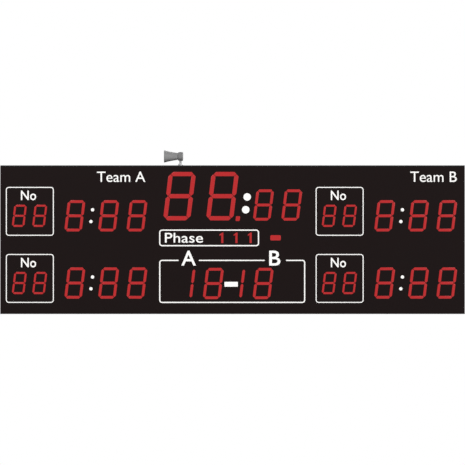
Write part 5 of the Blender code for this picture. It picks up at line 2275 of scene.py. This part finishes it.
FRAME_FINISHES: dict[Finish, tuple[str, ...]] = {
    Finish.PANEL: ("front_panel",),
    Finish.BLACK_COAT: (
        "top_profile", "bottom_profile", "left_end_plate", "right_end_plate",
        "cabinet_hinge_leaf", "door_hinge_leaf", *(f"{side}_back_panel" for side in SIDES),
    ),
    Finish.ALUMINIUM_X: (
        *MODULE_RAILS, "door_top_rail", "door_bottom_rail", "wall_rail", "hanging_rail",
    ),
    Finish.ALUMINIUM_Z: (
        "left_post", "right_post", "door_left_rail", "door_right_rail", "left_stay_channel",
        "right_stay_channel",
    ),
    Finish.ZINC: (
        "left_stay_arm", "right_stay_arm", "hinge_pin", *(f"{side}_catch" for side in SIDES),
    ),
    Finish.BOARD: (
        "clock_board", "period_board", "score_board",
        *(f"{team}_penalty_{row}_board" for team in ("home", "guest") for row in (1, 2)),
    ),
    Finish.RUBBER_AND_SLOT_SHADE: ("left_wall_spacer", "right_wall_spacer"),
}


def dress_frame(nodes: dict[str, bpy.types.Object]) -> None:
    """Gives the CAD nodes that stay in view their finishes.

    Args:
        nodes: the frame's objects by node name.
    """
    for finish, names in FRAME_FINISHES.items():
        for name in names:
            nodes[name].data.materials.clear()
            nodes[name].data.materials.append(finish.material())
        LOG.info("%s on %d frame nodes", finish.name, len(names))


@dataclass
class Studio:
    """A pale floor out of view, white surroundings, soft lights, and the photograph's camera."""

    frame_width: float = 3.00245
    lens: float = 200.0
    sensor: float = 36.0
    raise_view: float = 0.0462
    floor_z: float = -2.6
    white_seen: float = 1.0
    white_lit: float = 0.60
    light_size: float = 3.0
    lit_spot: Place = (0.0, -0.1, -0.36)

    def build_camera(self, cabinet: Cabinet) -> None:
        """A long lens straight in front, with the board a little below the picture's middle.

        Args:
            cabinet: the cabinet that it looks at.
        """
        camera = bpy.data.cameras.new("spectator_view")
        camera.lens = self.lens
        camera.sensor_width = self.sensor
        camera.clip_end = 100.0
        eye = linked("spectator_view", camera)
        distance = self.frame_width * self.lens / self.sensor
        middle_z = (cabinet.top + cabinet.bottom) / 2 + self.raise_view
        eye.location = ((cabinet.left + cabinet.right) / 2, cabinet.front - distance, middle_z)
        eye.rotation_euler = (math.pi / 2, 0.0, 0.0)
        bpy.context.scene.camera = eye

    def build_light(self, name: str, place: Place, power: float) -> None:
        """A square soft light that looks at the board.

        Args:
            name: the light's name.
            place: where it stands.
            power: its power in watts.
        """
        light = bpy.data.lights.new(name, "AREA")
        light.size = self.light_size
        light.energy = power
        lamp = linked(name, light)
        aim = np.array(self.lit_spot) - np.array(place)
        flat = math.hypot(aim[0], aim[1])
        lamp.location = place
        lamp.rotation_euler = (
            math.pi / 2 + math.atan2(aim[2], flat), 0.0, math.atan2(aim[1], aim[0]) - math.pi / 2
        )

    def build_world(self) -> None:
        """White for the camera, and a softer white for everything the board sees."""
        white = (1.0, 1.0, 1.0, 1.0)
        graph = Graph(bpy.data.worlds.new("white_surroundings"))
        rays = graph.node("ShaderNodeLightPath").outputs["Is Camera Ray"]
        backgrounds = [
            graph.node("ShaderNodeBackground", None, {"Color": white, "Strength": strength})
            for strength in (self.white_lit, self.white_seen)
        ]
        lit, seen = (node.outputs[0] for node in backgrounds)
        choose = graph.node("ShaderNodeMixShader", None, {0: rays, 1: lit, 2: seen})
        graph.node("ShaderNodeOutputWorld", None, {0: choose.outputs[0]})
        bpy.context.scene.world = graph.owner

    def build_floor(self) -> None:
        """The floor, a plain pale sheet below the view."""
        points = np.array([(-12, -14, 0), (12, -14, 0), (12, 7, 0), (-12, 7, 0)], float)
        points[:, 2] = self.floor_z
        mesh = bpy.data.meshes.new("floor")
        mesh.from_pydata(points.tolist(), [], [(0, 1, 2, 3)])
        graph = material_graph("pale_floor")
        cloud = graph.noise(3.0, 3.0)
        mesh.materials.append(graph.surface({
            "Base Color": graph.mix(cloud, (0.80, 0.80, 0.80), (0.84, 0.84, 0.84)),
            "Roughness": 0.8,
            "Emission Color": (0.27, 0.27, 0.27),
            "Emission Strength": 1.0,
        }))
        linked("floor", mesh)

    def build(self, cabinet: Cabinet) -> None:
        """Makes the studio round the board.

        Args:
            cabinet: the cabinet that the camera looks at.
        """
        self.build_camera(cabinet)
        self.build_world()
        self.build_floor()
        self.build_light("key_light", (-3.2, -5.0, 3.4), 205.0)
        self.build_light("fill_light", (3.8, -5.0, 1.6), 105.0)
        self.build_light("rear_light", (1.5, 4.0, 2.5), 160.0)
        scene = bpy.context.scene
        scene.view_settings.view_transform = "Standard"
        scene.view_settings.look = "None"


def main() -> None:
    """Builds the scene round the frame."""
    logging.basicConfig(level=logging.INFO, format="%(name)s: %(message)s")
    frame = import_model()
    cabinet = Cabinet.from_frame()
    Studio().build(cabinet)
    dress_frame(frame["nodes"])
    layout = DigitLayout(cabinet)
    for group in (layout.clock(), layout.period(), layout.score(), *layout.penalties()):
        group.build()
    Printing(cabinet).build()
    Horn().build()
    Fasteners(cabinet).build()
    Louvres(cabinet).build()
    Latches().build()
    Electrics().build()


if __name__ == "__main__":
    main()
